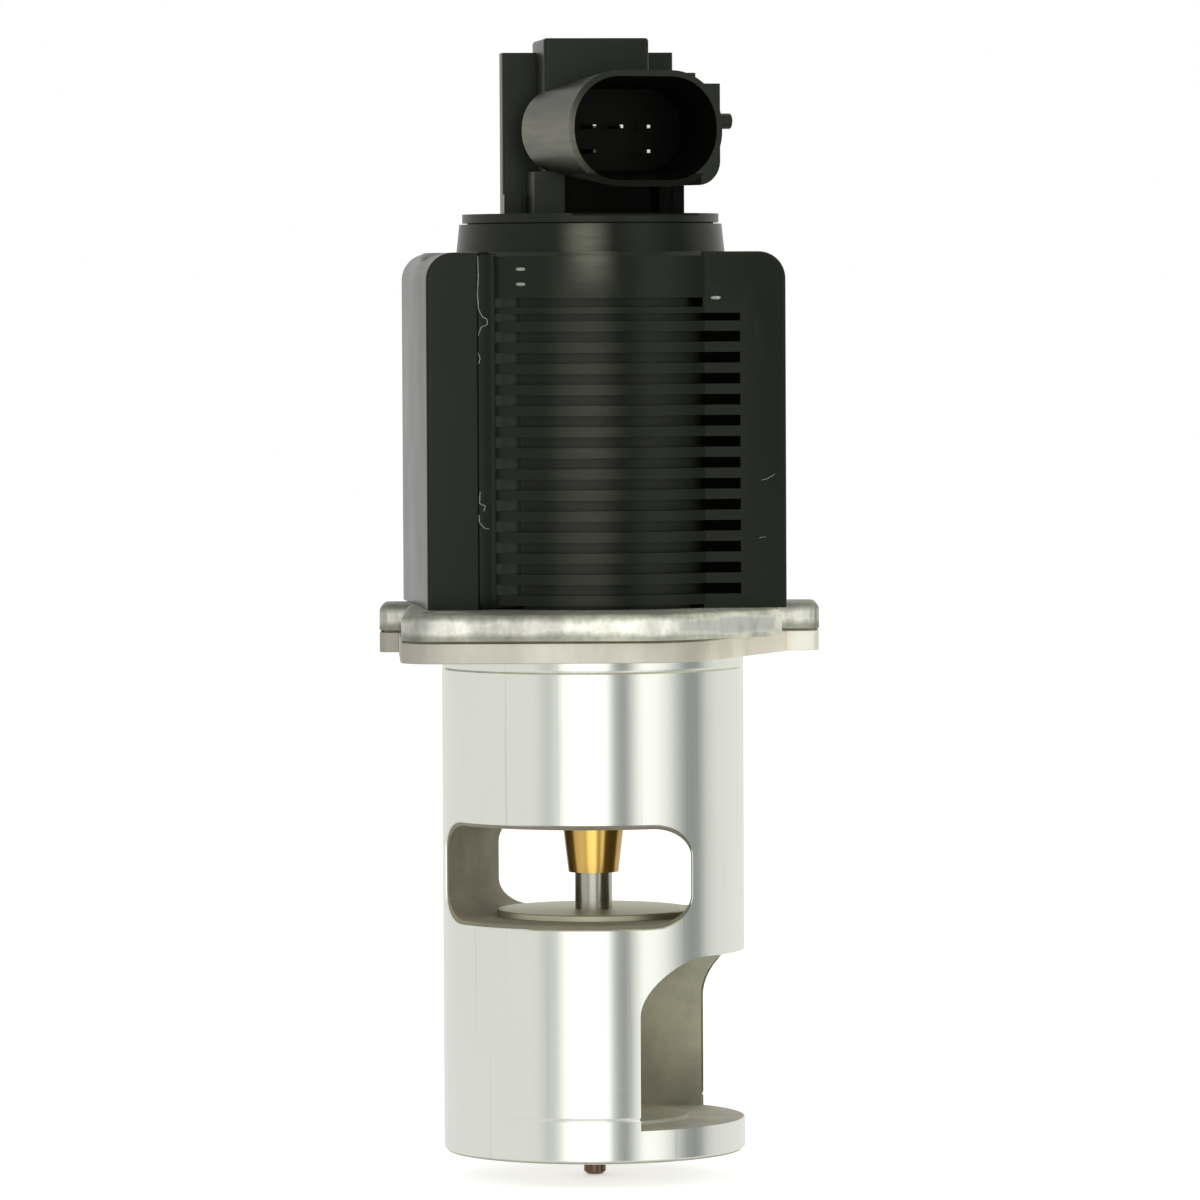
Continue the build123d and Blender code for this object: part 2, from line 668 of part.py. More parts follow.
export_step(yoke_frame.part, "parts/yoke_frame.step")

# ---- Coil ----------------------------------------------------------------------------------------
bobbin_bore_r = sleeve_r + LOOSE_GAP
bobbin_r = bobbin_bore_r + BOBBIN_WALL
bobbin_flange_r = WINDING_CHAMBER_R - LOOSE_GAP
terminal_spots = [(-TERMINAL_X, TERMINAL_Y), (TERMINAL_X, TERMINAL_Y)]
slot_width = TERMINAL_WIDTH + 2 * LOOSE_GAP
slot_depth = TERMINAL_THICKNESS + 2 * LOOSE_GAP
with BuildPart() as coil_bobbin:
    with BuildSketch(Plane.XZ):
        Polygon(
            (bobbin_bore_r, plate_top_z),
            (bobbin_flange_r, plate_top_z),
            (bobbin_flange_r, plate_top_z + BOBBIN_FLANGE),
            (bobbin_r, plate_top_z + BOBBIN_FLANGE),
            (bobbin_r, yoke_under_z - BOBBIN_FLANGE),
            (bobbin_flange_r, yoke_under_z - BOBBIN_FLANGE),
            (bobbin_flange_r, yoke_under_z),
            (bobbin_bore_r, yoke_under_z),
            align=None,
        )
    revolve(axis=Axis.Z)
    with BuildSketch(Plane.XY.offset(yoke_under_z)):
        with Locations(*terminal_spots):
            Rectangle(TERMINAL_WIDTH, TERMINAL_THICKNESS)
    extrude(amount=-BOBBIN_FLANGE, mode=Mode.SUBTRACT)
coil_bobbin.part.label = "coil_bobbin"
export_step(coil_bobbin.part, "parts/coil_bobbin.step")

coil_winding = turned(
    (bobbin_r, plate_top_z + BOBBIN_FLANGE),
    (WINDING_R, plate_top_z + BOBBIN_FLANGE),
    (WINDING_R, yoke_under_z - BOBBIN_FLANGE),
    (bobbin_r, yoke_under_z - BOBBIN_FLANGE),
)
coil_winding.label = "coil_winding"
export_step(coil_winding, "parts/coil_winding.step")

terminal_height = base_top_z + TERMINAL_RISE - (yoke_under_z - BOBBIN_FLANGE)
with BuildPart() as coil_terminals:
    with BuildSketch(Plane.XY.offset(yoke_under_z - BOBBIN_FLANGE)):
        with Locations(*terminal_spots):
            Rectangle(TERMINAL_WIDTH, TERMINAL_THICKNESS)
    extrude(amount=terminal_height)
coil_terminals.part.label = "coil_terminals"
export_step(coil_terminals.part, "parts/coil_terminals.step")

# ---- Coil housing --------------------------------------------------------------------------------
barrel_top_z = housing_top_z - BAND_HEIGHT
groove_r = BARREL_R - GROOVE_DEPTH
fin_count = int((HOUSING_HEIGHT - FIRST_FIN_DROP) / FIN_PITCH) + 1
first_fin_z = housing_top_z - FIRST_FIN_DROP
fin_centres = [(first_fin_z - index * FIN_PITCH, FIN_THICKNESS) for index in range(fin_count)]
fin_centres.insert(0, (housing_top_z - THIN_FIN_DROP, THIN_FIN))
barrel_outline = [(0, housing_top_z), (BARREL_R - BAND_EDGE, housing_top_z)]
barrel_outline += [(BARREL_R, housing_top_z - BAND_EDGE)]
barrel_outline += [(BARREL_R, barrel_top_z), (groove_r, barrel_top_z)]
for centre_z, thickness in fin_centres:
    low_z = max(centre_z - thickness / 2, plate_top_z)
    barrel_outline += [(groove_r, centre_z + thickness / 2), (BARREL_R, centre_z + thickness / 2)]
    barrel_outline += [(BARREL_R, low_z), (groove_r, low_z)]
barrel_outline += [(groove_r, plate_top_z), (0, plate_top_z)]

with BuildPart() as coil_housing:
    # finned barrel
    with BuildSketch(Plane.XZ):
        Polygon(*barrel_outline, align=None)
    revolve(axis=Axis.Z)

    # side ears with their rounded upper corners
    ear_width = EAR_HALF_WIDTH - EAR_INNER
    for side in (-1, 1):
        with BuildSketch(Plane.XZ) as ear:
            with Locations((side * (EAR_HALF_WIDTH - ear_width / 2), plate_top_z)):
                Rectangle(ear_width, HOUSING_HEIGHT, align=(Align.CENTER, Align.MIN))
            outer_corners = ear.vertices().filter_by(lambda corner: abs(corner.X) > EAR_INNER + EAR_EDGE)
            fillet(outer_corners.sort_by(Axis.Y)[-1], EAR_ROUND)
        extrude(amount=EAR_HALF_DEPTH, both=True)
    ear_edges = coil_housing.edges().filter_by(Axis.Z)
    fillet(ear_edges.filter_by(lambda edge: abs((edge @ 0.5).X) > BARREL_R), EAR_EDGE)

    # flush walls from ear to barrel
    flush_width = EAR_INNER - FLUSH_INNER
    with BuildSketch(Plane.XY.offset(plate_top_z)):
        with Locations((FLUSH_INNER, -EAR_HALF_DEPTH), (-EAR_INNER, EAR_HALF_DEPTH - FLUSH_DEPTH)):
            Rectangle(flush_width, FLUSH_DEPTH, align=Align.MIN)
    extrude(amount=HOUSING_HEIGHT)

    # slanted inner edges of the other two corners
    slant_y = EAR_HALF_DEPTH + LOOSE_GAP
    slant = [(EAR_INNER + EAR_SLANT, slant_y), (EAR_INNER - LOOSE_GAP, slant_y)]
    slant += [(EAR_INNER - LOOSE_GAP, slant_y - EAR_SLANT)]
    with BuildSketch(Plane.XY.offset(plate_top_z)):
        Polygon(*slant, align=None)
        Polygon(*[(-x, -y) for x, y in slant], align=None)
    extrude(amount=HOUSING_HEIGHT, mode=Mode.SUBTRACT)

    # slots between the fins in the flush walls
    slot_length = SLOT_OUTER - FLUSH_INNER + LOOSE_GAP
    slot_reach = EAR_HALF_DEPTH - SLOT_FLOOR + LOOSE_GAP
    for (upper_z, upper_fin), (lower_z, lower_fin) in zip(fin_centres, fin_centres[1:]):
        slot_top_z = upper_z - upper_fin / 2
        slot_low_z = lower_z + lower_fin / 2
        with BuildSketch(Plane.XY.offset(slot_low_z)):
            with Locations((SLOT_OUTER - slot_length / 2, -SLOT_FLOOR - slot_reach / 2)):
                Rectangle(slot_length, slot_reach)
            with Locations((slot_length / 2 - SLOT_OUTER, SLOT_FLOOR + slot_reach / 2)):
                Rectangle(slot_length, slot_reach)
        extrude(amount=slot_top_z - slot_low_z, mode=Mode.SUBTRACT)

    # collar that carries the sensor
    with BuildSketch(Plane.XZ):
        Polygon(
            (0, housing_top_z),
            (COLLAR_R, housing_top_z),
            (COLLAR_TOP_R, collar_top_z),
            (0, collar_top_z),
            align=None,
        )
    revolve(axis=Axis.Z)

    # space for coil, pole head, sensor base and cap seal
    with BuildSketch(Plane.XZ):
        Polygon(
            (0, plate_top_z),
            (WINDING_CHAMBER_R, plate_top_z),
            (WINDING_CHAMBER_R, yoke_under_z + LOOSE_GAP),
            (POLE_HEAD_R + LOOSE_GAP, yoke_under_z + LOOSE_GAP),
            (POLE_HEAD_R + LOOSE_GAP, ceiling_top_z),
            (COLLAR_BORE_R, ceiling_top_z),
            (COLLAR_BORE_R, collar_top_z),
            (0, collar_top_z),
            align=None,
        )
        with Locations((CAP_SEAL_R, collar_top_z)):
            Rectangle(3 * CAP_SEAL_HALF, 2 * CAP_SEAL_HALF - CAP_SEAM, align=(Align.CENTER, Align.MAX))
    revolve(axis=Axis.Z, mode=Mode.SUBTRACT)

    # space for the yoke, and slots for the coil's terminals
    with BuildSketch(Plane.XY.offset(plate_top_z)):
        Rectangle(2 * (YOKE_HALF_WIDTH + LOOSE_GAP), 2 * (YOKE_HALF_DEPTH + LOOSE_GAP))
    extrude(amount=yoke_height + LOOSE_GAP, mode=Mode.SUBTRACT)
    with BuildSketch(Plane.XY.offset(yoke_under_z)):
        with Locations(*terminal_spots):
            Rectangle(slot_width, slot_depth)
    extrude(amount=HOUSING_HEIGHT, mode=Mode.SUBTRACT)
coil_housing.part.label = "coil_housing"
export_step(coil_housing.part, "parts/coil_housing.step")

# ---- Sensor base and seal ------------------------------------------------------------------------
with BuildPart() as sensor_base:
    with BuildSketch(Plane.XY.offset(ceiling_top_z)):
        Circle(SENSOR_BASE_R)
        Circle(PLUNGER_R + RUNNING_GAP, mode=Mode.SUBTRACT)
        with Locations(*terminal_spots):
            Rectangle(slot_width, slot_depth, mode=Mode.SUBTRACT)
    extrude(amount=SENSOR_BASE)
sensor_base.part.label = "sensor_base"
export_step(sensor_base.part, "parts/sensor_base.step")

with BuildPart() as base_seal:
    with BuildSketch(Plane.XZ):
        with Locations((CAP_SEAL_R, cap_z - CAP_SEAL_HALF)):
            Rectangle(2 * CAP_SEAL_HALF, 2 * CAP_SEAL_HALF)
    revolve(axis=Axis.Z)
base_seal.part.label = "base_seal"
export_step(base_seal.part, "parts/base_seal.step")

# ---- Sensor cap with its connector ---------------------------------------------------------------
mouth = facing(SOCKET_TURN, SOCKET_X, SOCKET_Y, cap_flange_top_z + SOCKET_HEIGHT)
block_front = BLOCK_BACK - BLOCK_DEPTH
block_middle = BLOCK_BACK - BLOCK_DEPTH / 2
tower_depth = TOWER_FRONT + BLOCK_BACK
tower_middle = (BLOCK_BACK - TOWER_FRONT) / 2
leg_depth = LEG_FRONT + block_front
pin_spots = [(step * PIN_PITCH, PIN_UPPER_ROW) for step in (-1, 0, 1)]
pin_spots += [(step * PIN_PITCH, PIN_LOWER_ROW) for step in (-1, 1)]

with BuildPart() as sensor_cap:
    # round flange
    with BuildSketch(Plane.XY.offset(cap_z)):
        Circle(CAP_FLANGE_R)
    extrude(amount=CAP_FLANGE)

    # wide block, and the taller tower that stands out of its front
    with BuildSketch(Plane.XY.offset(cap_flange_top_z)):
        with Locations((0, block_middle)):
            RectangleRounded(2 * BLOCK_HALF_WIDTH, BLOCK_DEPTH, BLOCK_CORNER)
    extrude(amount=BLOCK_HEIGHT)
    with BuildSketch(Plane.XY.offset(cap_flange_top_z)):
        with Locations((0, tower_middle)):
            RectangleRounded(2 * TOWER_HALF_WIDTH, tower_depth, BLOCK_CORNER)
    extrude(amount=TOWER_HEIGHT)

    # legs that carry the connector, and the small foot beside the left one
    with BuildSketch(Plane.XY.offset(cap_flange_top_z)):
        with Locations((LEG_LEFT, -LEG_FRONT)):
            Rectangle(LEG_LEFT_INNER - LEG_LEFT, leg_depth, align=Align.MIN)
        with Locations((LEG_RIGHT_INNER, -LEG_FRONT)):
            Rectangle(LEG_RIGHT - LEG_RIGHT_INNER, leg_depth, align=Align.MIN)
        with Locations((LEG_RIGHT - LEG_RIB, -LEG_FRONT - LEG_RIB_REACH)):
            Rectangle(LEG_RIB, leg_depth, align=Align.MIN)
    extrude(amount=LEG_HEIGHT)
    with BuildSketch(Plane.XY.offset(cap_flange_top_z)):
        with Locations((-BLOCK_HALF_WIDTH, block_front - FOOT_DEPTH)):
            Rectangle(FOOT_WIDTH, BLOCK_DEPTH, align=Align.MIN)
    extrude(amount=FOOT_HEIGHT)

    top_face = sensor_cap.faces().filter_by(Axis.Z).sort_by(Axis.Z)[-1]
    fillet(top_face.outer_wire().edges(), TOP_EDGE)

    # tapered connector shell, with the latch frame and peg on its right
    with BuildSketch(mouth):
        RectangleRounded(SHELL_WIDTH, SHELL_HEIGHT, SHELL_CORNER)
    with BuildSketch(square_at(mouth, 0, 0, SHELL_LENGTH)):
        RectangleRounded(SHELL_ROOT_WIDTH, SHELL_ROOT_HEIGHT, SHELL_ROOT_CORNER)
    loft()
    frame_half = SHELL_HEIGHT / 2 - FRAME_INSET
    with BuildSketch(square_at(mouth, 0, 0, FRAME_SETBACK)) as latch_frame:
        with Locations((0, -frame_half)):
            Rectangle(FRAME_REACH_U, frame_half + FRAME_TOP, align=Align.MIN)
            Rectangle(FRAME_STEP_U, 2 * frame_half, align=Align.MIN)
        frame_corners = latch_frame.vertices().group_by(Axis.Y)[0]
        fillet(frame_corners.sort_by(Axis.X)[-1], FRAME_CORNER)
    extrude(amount=-FRAME_THICKNESS)
    peg_start = square_at(mouth, FRAME_REACH_U, PEG_RISE, FRAME_SETBACK + FRAME_THICKNESS / 2)
    with BuildSketch(Plane(origin=peg_start.origin, z_dir=mouth.x_dir)):
        Circle(PEG_R)
    extrude(amount=PEG_LENGTH)

    # hollow inside of block and flange
    with BuildSketch(Plane.XY.offset(cap_z)):
        with Locations((0, block_middle)):
            Rectangle(2 * (BLOCK_HALF_WIDTH - CAP_WALL), BLOCK_DEPTH - 2 * CAP_WALL)
        with Locations((0, tower_middle)):
            Rectangle(2 * (TOWER_HALF_WIDTH - CAP_WALL), tower_depth - 2 * CAP_WALL)
    extrude(amount=cap_roof_z - cap_z, mode=Mode.SUBTRACT)

    # socket inside the shell, and the holes for its pins
    share = SOCKET_DEPTH / SHELL_LENGTH
    floor_width = SHELL_WIDTH + (SHELL_ROOT_WIDTH - SHELL_WIDTH) * share - 2 * SHELL_WALL
    floor_height = SHELL_HEIGHT + (SHELL_ROOT_HEIGHT - SHELL_HEIGHT) * share - 2 * SHELL_WALL
    floor_corner = SHELL_CORNER + (SHELL_ROOT_CORNER - SHELL_CORNER) * share - SHELL_WALL
    mouth_width = SHELL_WIDTH - 2 * SHELL_WALL
    mouth_height = SHELL_HEIGHT - 2 * SHELL_WALL
    with BuildSketch(mouth):
        RectangleRounded(mouth_width, mouth_height, SHELL_CORNER - SHELL_WALL)
    with BuildSketch(square_at(mouth, 0, 0, SOCKET_DEPTH)):
        RectangleRounded(floor_width, floor_height, floor_corner)
    loft(mode=Mode.SUBTRACT)
    with BuildSketch(square_at(mouth, 0, 0, SOCKET_DEPTH)):
        with Locations(*pin_spots):
            Rectangle(PIN_SIZE, PIN_SIZE)
    extrude(amount=-(PIN_TIP_DEPTH + PIN_LENGTH - SOCKET_DEPTH), mode=Mode.SUBTRACT)
sensor_cap.part.label = "sensor_cap"
export_step(sensor_cap.part, "parts/sensor_cap.step")

with BuildPart() as connector_pins:
    with BuildSketch(square_at(mouth, 0, 0, PIN_TIP_DEPTH)):
        with Locations(*pin_spots):
            Rectangle(PIN_SIZE, PIN_SIZE)
    extrude(amount=-PIN_LENGTH)
connector_pins.part.label = "connector_pins"
export_step(connector_pins.part, "parts/connector_pins.step")

# ---- Lift sensor ---------------------------------------------------------------------------------
with BuildPart() as sensor_plunger:
    with BuildSketch(Plane.XY.offset(stem_top_z + TIP_GAP)):
        Circle(PLUNGER_R)
    extrude(amount=carriage_z - stem_top_z - TIP_GAP)
    with BuildSketch(Plane.XY.offset(carriage_z)):
        Rectangle(CARRIAGE_WIDTH, CARRIAGE_DEPTH)
    extrude(amount=CARRIAGE_HEIGHT)
sensor_plunger.part.label = "sensor_plunger"
export_step(sensor_plunger.part, "parts/sensor_plunger.step")

with BuildPart() as sensor_board:
    with BuildSketch(Plane.XY.offset(base_top_z)):
        with Locations((0, BOARD_SETBACK + BOARD_THICKNESS / 2)):
            Rectangle(BOARD_WIDTH, BOARD_THICKNESS)
    extrude(amount=BOARD_HEIGHT)
sensor_board.part.label = "sensor_board"
export_step(sensor_board.part, "parts/sensor_board.step")

leaf_y = CARRIAGE_DEPTH / 2
leaf_tip_y = BOARD_SETBACK - WIPER_GAP
leaf_z = carriage_z + 1.0
bend_z = leaf_z + WIPER_HEIGHT - WIPER_BOW - 1.0
with BuildPart() as sensor_wiper:
    with BuildSketch(Plane.YZ):
        Polygon(
            (leaf_y, leaf_z),
            (leaf_y + WIPER_LEAF, leaf_z),
            (leaf_y + WIPER_LEAF, bend_z),
            (leaf_tip_y, bend_z + WIPER_BOW),
            (leaf_tip_y, leaf_z + WIPER_HEIGHT),
            (leaf_tip_y - WIPER_LEAF, leaf_z + WIPER_HEIGHT),
            (leaf_tip_y - WIPER_LEAF, bend_z + WIPER_BOW + WIPER_LEAF / 2),
            (leaf_y, bend_z + WIPER_LEAF / 2),
            align=None,
        )
    extrude(amount=WIPER_WIDTH / 2, both=True)
sensor_wiper.part.label = "sensor_wiper"
export_step(sensor_wiper.part, "parts/sensor_wiper.step")

# ---- Springs -------------------------------------------------------------------------------------
return_spring = spring(RETURN_SPRING_R, RETURN_WIRE_R, RETURN_TURNS, pocket_floor_z, pole_bottom_z)
return_spring.label = "return_spring"
export_step(return_spring, "parts/return_spring.step")

sensor_spring = spring(SENSOR_SPRING_R, SENSOR_WIRE_R, SENSOR_TURNS, carriage_top_z, cap_roof_z)
sensor_spring.label = "sensor_spring"
export_step(sensor_spring, "parts/sensor_spring.step")
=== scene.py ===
import json
from collections import namedtuple
from math import cos, pi, radians, sin

import bmesh
import bpy
import numpy as np
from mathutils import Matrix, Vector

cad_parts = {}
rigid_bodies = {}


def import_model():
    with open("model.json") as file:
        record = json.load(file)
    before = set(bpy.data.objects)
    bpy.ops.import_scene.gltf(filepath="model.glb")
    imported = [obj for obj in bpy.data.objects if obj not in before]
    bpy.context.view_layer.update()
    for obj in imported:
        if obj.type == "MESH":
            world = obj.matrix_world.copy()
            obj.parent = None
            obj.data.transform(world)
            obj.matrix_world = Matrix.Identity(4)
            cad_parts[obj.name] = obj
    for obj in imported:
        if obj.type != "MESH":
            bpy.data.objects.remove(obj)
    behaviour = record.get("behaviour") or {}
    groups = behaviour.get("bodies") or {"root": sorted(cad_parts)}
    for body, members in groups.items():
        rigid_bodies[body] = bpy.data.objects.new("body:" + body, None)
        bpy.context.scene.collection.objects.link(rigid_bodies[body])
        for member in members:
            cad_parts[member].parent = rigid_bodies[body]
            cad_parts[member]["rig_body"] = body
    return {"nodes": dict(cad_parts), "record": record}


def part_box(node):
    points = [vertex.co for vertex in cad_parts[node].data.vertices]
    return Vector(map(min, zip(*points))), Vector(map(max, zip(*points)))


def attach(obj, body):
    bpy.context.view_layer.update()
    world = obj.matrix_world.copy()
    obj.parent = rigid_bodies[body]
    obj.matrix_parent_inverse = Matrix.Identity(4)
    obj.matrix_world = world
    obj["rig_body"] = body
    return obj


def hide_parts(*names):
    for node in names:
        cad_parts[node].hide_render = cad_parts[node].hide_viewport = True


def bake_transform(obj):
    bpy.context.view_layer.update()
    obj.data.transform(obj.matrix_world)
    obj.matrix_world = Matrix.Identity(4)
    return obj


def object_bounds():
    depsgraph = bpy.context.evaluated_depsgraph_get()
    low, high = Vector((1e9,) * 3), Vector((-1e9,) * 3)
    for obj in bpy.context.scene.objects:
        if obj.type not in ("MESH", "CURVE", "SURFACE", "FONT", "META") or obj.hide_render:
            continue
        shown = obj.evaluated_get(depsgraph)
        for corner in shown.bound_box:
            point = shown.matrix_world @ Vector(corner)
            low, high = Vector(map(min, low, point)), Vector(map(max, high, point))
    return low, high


bl_info = {
    "name": "Exhaust gas recirculation valve",
    "version": (1, 0, 0),
    "blender": (4, 5, 0),
    "location": "3D View > Sidebar > EGR valve",
    "description": "Dresses the packed valve: turned body, flange plates, finned coil housing, sensor cap",
    "category": "Object",
}

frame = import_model()
cad_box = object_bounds()
CAD = frame["nodes"]
MM = 0.001


# ---------------------------------------------------------------------------------------------------------
# Settings that a user would change
# ---------------------------------------------------------------------------------------------------------
def colour(label, description, default):
    """A colour property with its name, description and default."""
    return bpy.props.FloatVectorProperty(
        name=label, description=description, default=default, subtype="COLOR", size=3, min=0.0, max=1.0
    )


def length(label, description, default):
    """A length property in metres."""
    return bpy.props.FloatProperty(
        name=label, description=description, default=default, unit="LENGTH", precision=5
    )


def level(label, description, default):
    """A plain number between 0 and 4."""
    return bpy.props.FloatProperty(name=label, description=description, default=default, min=0.0, max=4.0)


def turn(label, description, default):
    """An angle property, given in degrees."""
    return bpy.props.FloatProperty(
        name=label, description=description, default=radians(default), subtype="ANGLE"
    )


class EgrStageSettings(bpy.types.PropertyGroup):
    """Camera, lamps and floor."""

    camera_distance: length("Camera distance", "From the valve's axis to the camera", 1.139)
    camera_height: length("Camera height", "Above the seating plane", 0.0538)
    camera_side: turn("Camera side", "How far the camera stands to the left of the front", 6.3)
    camera_pan: turn("Camera pan", "How far the camera looks past the axis to the right", 0.070)
    camera_pitch: turn("Camera pitch", "How far the camera looks down", 2.319)
    camera_roll: turn("Camera roll", "Clockwise roll of the camera", 0.28)
    camera_lens: bpy.props.FloatProperty(
        name="Focal length", description="Of the lens, in millimetres", default=229.1
    )
    floor_gap: length("Floor gap", "Between the stem's tip and the floor", 0.0002)
    floor_colour: colour("Floor", "Colour of the floor", (0.9, 0.9, 0.89))
    floor_glow: level("Floor glow", "White that the camera sees on the floor, added to its lit colour", 0.5)
    fill_level: level("Fill", "How strongly the surroundings light matt surfaces", 0.62)
    key_power: level("Key lamp", "Power of the large front lamp, in watts", 1.6)
    rim_power: level("Side lamp", "Power of the lamps at the right and behind, in watts", 0.9)


class EgrFinishSettings(bpy.types.PropertyGroup):
    """Colours and edges of the pieces."""

    aluminium: colour("Turned aluminium", "Outside of the valve body", (0.81, 0.825, 0.755))
    milled: colour("Milled aluminium", "Window, port and bores of the body", (0.98, 0.95, 0.80))
    browned: colour("Browned aluminium", "Walls of the window, browned by the gas", (0.46, 0.43, 0.33))
    brass: colour("Brass", "Guide bush of the stem", (0.74, 0.48, 0.13))
    stem: colour("Stem steel", "Ground stem of the valve", (0.44, 0.43, 0.37))
    head: colour("Head steel", "Turned head of the valve", (0.66, 0.65, 0.50))
    lower_plate: colour("Lower plate", "Brushed steel of the lower plate", (0.74, 0.71, 0.61))
    upper_plate: colour("Upper plate", "Zinc plating of the upper plate", (0.60, 0.61, 0.50))
    housing: colour("Housing", "Black moulding of the coil", (0.0058, 0.0075, 0.0042))
    cap: colour("Cap", "Black moulding of the sensor cap", (0.0062, 0.0080, 0.0046))
    # painted highlight colour of the paler streaks at the front of the collar, fins and connector's flank
    rubbed_and_highlight: colour("Rubbed plastic", "Paler rubbed patches of the black mouldings", (0.24, 0.238, 0.18))
    # painted shade: the darker black on the inside of the connector's mouth
    socket: colour("Socket", "Rough black inside of the connector", (0.0016, 0.0021, 0.0013))
    # burrs and pips whitened partly as real flash and partly as a painted highlight for their glints
    burr: colour("Moulding burrs", "Whitened burrs and pips of the mouldings", (0.34, 0.36, 0.31))
    gasket: colour("Joint", "Sheet joint between the flange plates", (0.40, 0.36, 0.29))
    contact: colour("Contacts", "Tin-plated connector pins", (0.72, 0.72, 0.68))
    moulded_edge: length("Moulded edge", "Radius on the edges of the black mouldings", 0.00022)
    plate_edge: length("Plate edge", "Radius on the edges of the flange plates", 0.0002)


# ---------------------------------------------------------------------------------------------------------
# Measures of single features, in metres unless it says otherwise
# ---------------------------------------------------------------------------------------------------------
X_AXIS, Y_AXIS, Z_AXIS = (1.0, 0.0, 0.0), (0.0, 1.0, 0.0), (0.0, 0.0, 1.0)

# Turns between faces, in degrees: up to which they count as one face, and from which their edge is sharp
COPLANAR_TURN = 0.3
CAD_CREASE, GRID_CREASE, BEVEL_TURN = 30.0, 40.0, 28.0

# Radii of the turned walls, and how far from them a corner may lie
BODY_RADII = (0.0225, 0.02238, 0.022)
PLUG_RADII = (0.014, 0.0138)
BUSH_RADII = (0.00458, 0.00375, 0.004, 0.00285)
STEM_RADII = (0.0028, 0.00165, 0.002, 0.00125)
HEAD_RADII = (0.0144, 0.01425)
WIDE_SLACK, TIGHT_SLACK = 0.00006, 0.00003

# Valve body: the faces nearer the axis than MILLED_R and above RIM_Z are milled, those above SOOT_Z browned
MILLED_R = 0.02232
RIM_Z = -0.07435
SOOT_Z = -0.0435
SOOT_EDGE = 0.0004
PORT_SHADE_LOW, PORT_SHADE_HIGH = -0.067, -0.053  # the port's walls get paler between these heights

# Brown end of the stem, from the height where it starts to the height where it is full
TIP_START, TIP_FULL = -0.0738, -0.0746
TIP_BROWN = (0.13, 0.085, 0.06)

# Painted highlight and shade across a piece from left to right, as (x, level) stops; at level 1 the colour
# stays as it is
BRASS_PAINTED_LIGHT = (
    (-0.0052, 0.42), (-0.0040, 0.62), (-0.0022, 1.05), (-0.0006, 1.25), (0.0012, 1.0), (0.0026, 0.8),
    (0.0040, 0.62), (0.0052, 0.5),
)
UPPER_PLATE_LIGHT = (
    (-0.033, 0.66), (-0.0275, 0.58), (-0.0235, 0.8), (-0.0208, 0.94), (-0.0185, 0.66), (-0.0105, 0.66),
    (-0.007, 0.88), (-0.003, 1.0), (0.008, 1.0), (0.014, 1.45), (0.021, 1.5), (0.0236, 1.15), (0.026, 1.9),
    (0.0285, 1.2), (0.0305, 0.85), (0.033, 0.74),
)
LOWER_PLATE_LIGHT = (
    (-0.033, 0.75), (-0.027, 0.72), (-0.022, 0.95), (-0.016, 1.0), (0.008, 1.0), (0.014, 1.4), (0.033, 1.4),
)
PALEST = (0.94, 0.93, 0.82)  # palest colour that the painted highlights and wear bring a metal to

# Painted highlights at the front: each fades out at a reach from its middle along a direction, and at a rise
# from its height
PaintedHighlight = namedtuple("PaintedHighlight", "direction middle reach height rise")
COLLAR_HIGHLIGHT = PaintedHighlight(X_AXIS, -0.0028, 0.0045, 0.0605, 0.0085)
FINS_HIGHLIGHT = PaintedHighlight(X_AXIS, -0.0030, 0.0070, 0.0300, 0.0400)
SHELL_HIGHLIGHT = PaintedHighlight((0.947, 0.3206, 0.0), -0.0150, 0.0053, 0.0765, 0.0085)
FINS_HIGHLIGHT_SHARE = 0.2  # of the painted highlight colour

# Painted shade in recesses, as (low, high) along x, y and z: the slots at front right and the space under
# the connector
SLOTS_RECESS = ((0.0145, 0.0197), (-0.0190, -0.0150), (0.0060, 0.0560))
CAP_RECESS = ((-0.0046, 0.0146), (-0.0300, 0.0), (0.0650, 0.0708))
RECESS_EDGE = 0.0004
PAINTED_RECESS_SHADE = (0.0030, 0.0033, 0.0026)

# Connector: the contact left of this x and below this z is darkened nearly to black; limits of the mouth's
# inside, measured back from the rim and to either side of the mouth's middle; depth past which a face is the
# mouth's floor
DARK_CONTACT_CORNER = (0.003, 0.078)
CONTACT_EDGE = 0.00012
MOUTH_NEAR, MOUTH_FAR = 0.0002, 0.0123
MOUTH_HALF_WIDTH, MOUTH_HALF_HEIGHT = 0.0126, 0.0087
MOUTH_FLOOR = 0.011

# Coil housing, in millimetres
BARREL_R = 25.5
EAR_FRONT = -21.0

# Skin in the left ear's corner: path of its section, height of its ends, thickness
SKIN_PATH = np.array((
    (-19.7, -20.98), (-19.1, -20.96), (-18.2, -20.55), (-17.2, -20.0), (-16.4, -19.55), (-15.5, -19.75),
    (-14.5, -20.1), (-13.4, -20.3), (-12.2, -20.2), (-10.4, -19.3),
)) * MM
SKIN_LOW, SKIN_HIGH = 0.0073, 0.0594
SKIN_THICK = 0.0004

# Half sizes of a moulding pip, and how square it is: 1 would be an ellipsoid, 0 a box
PIP_ACROSS, PIP_OUT, PIP_UP = 0.00075, 0.0002, 0.00025
PIP_POWER = 0.8

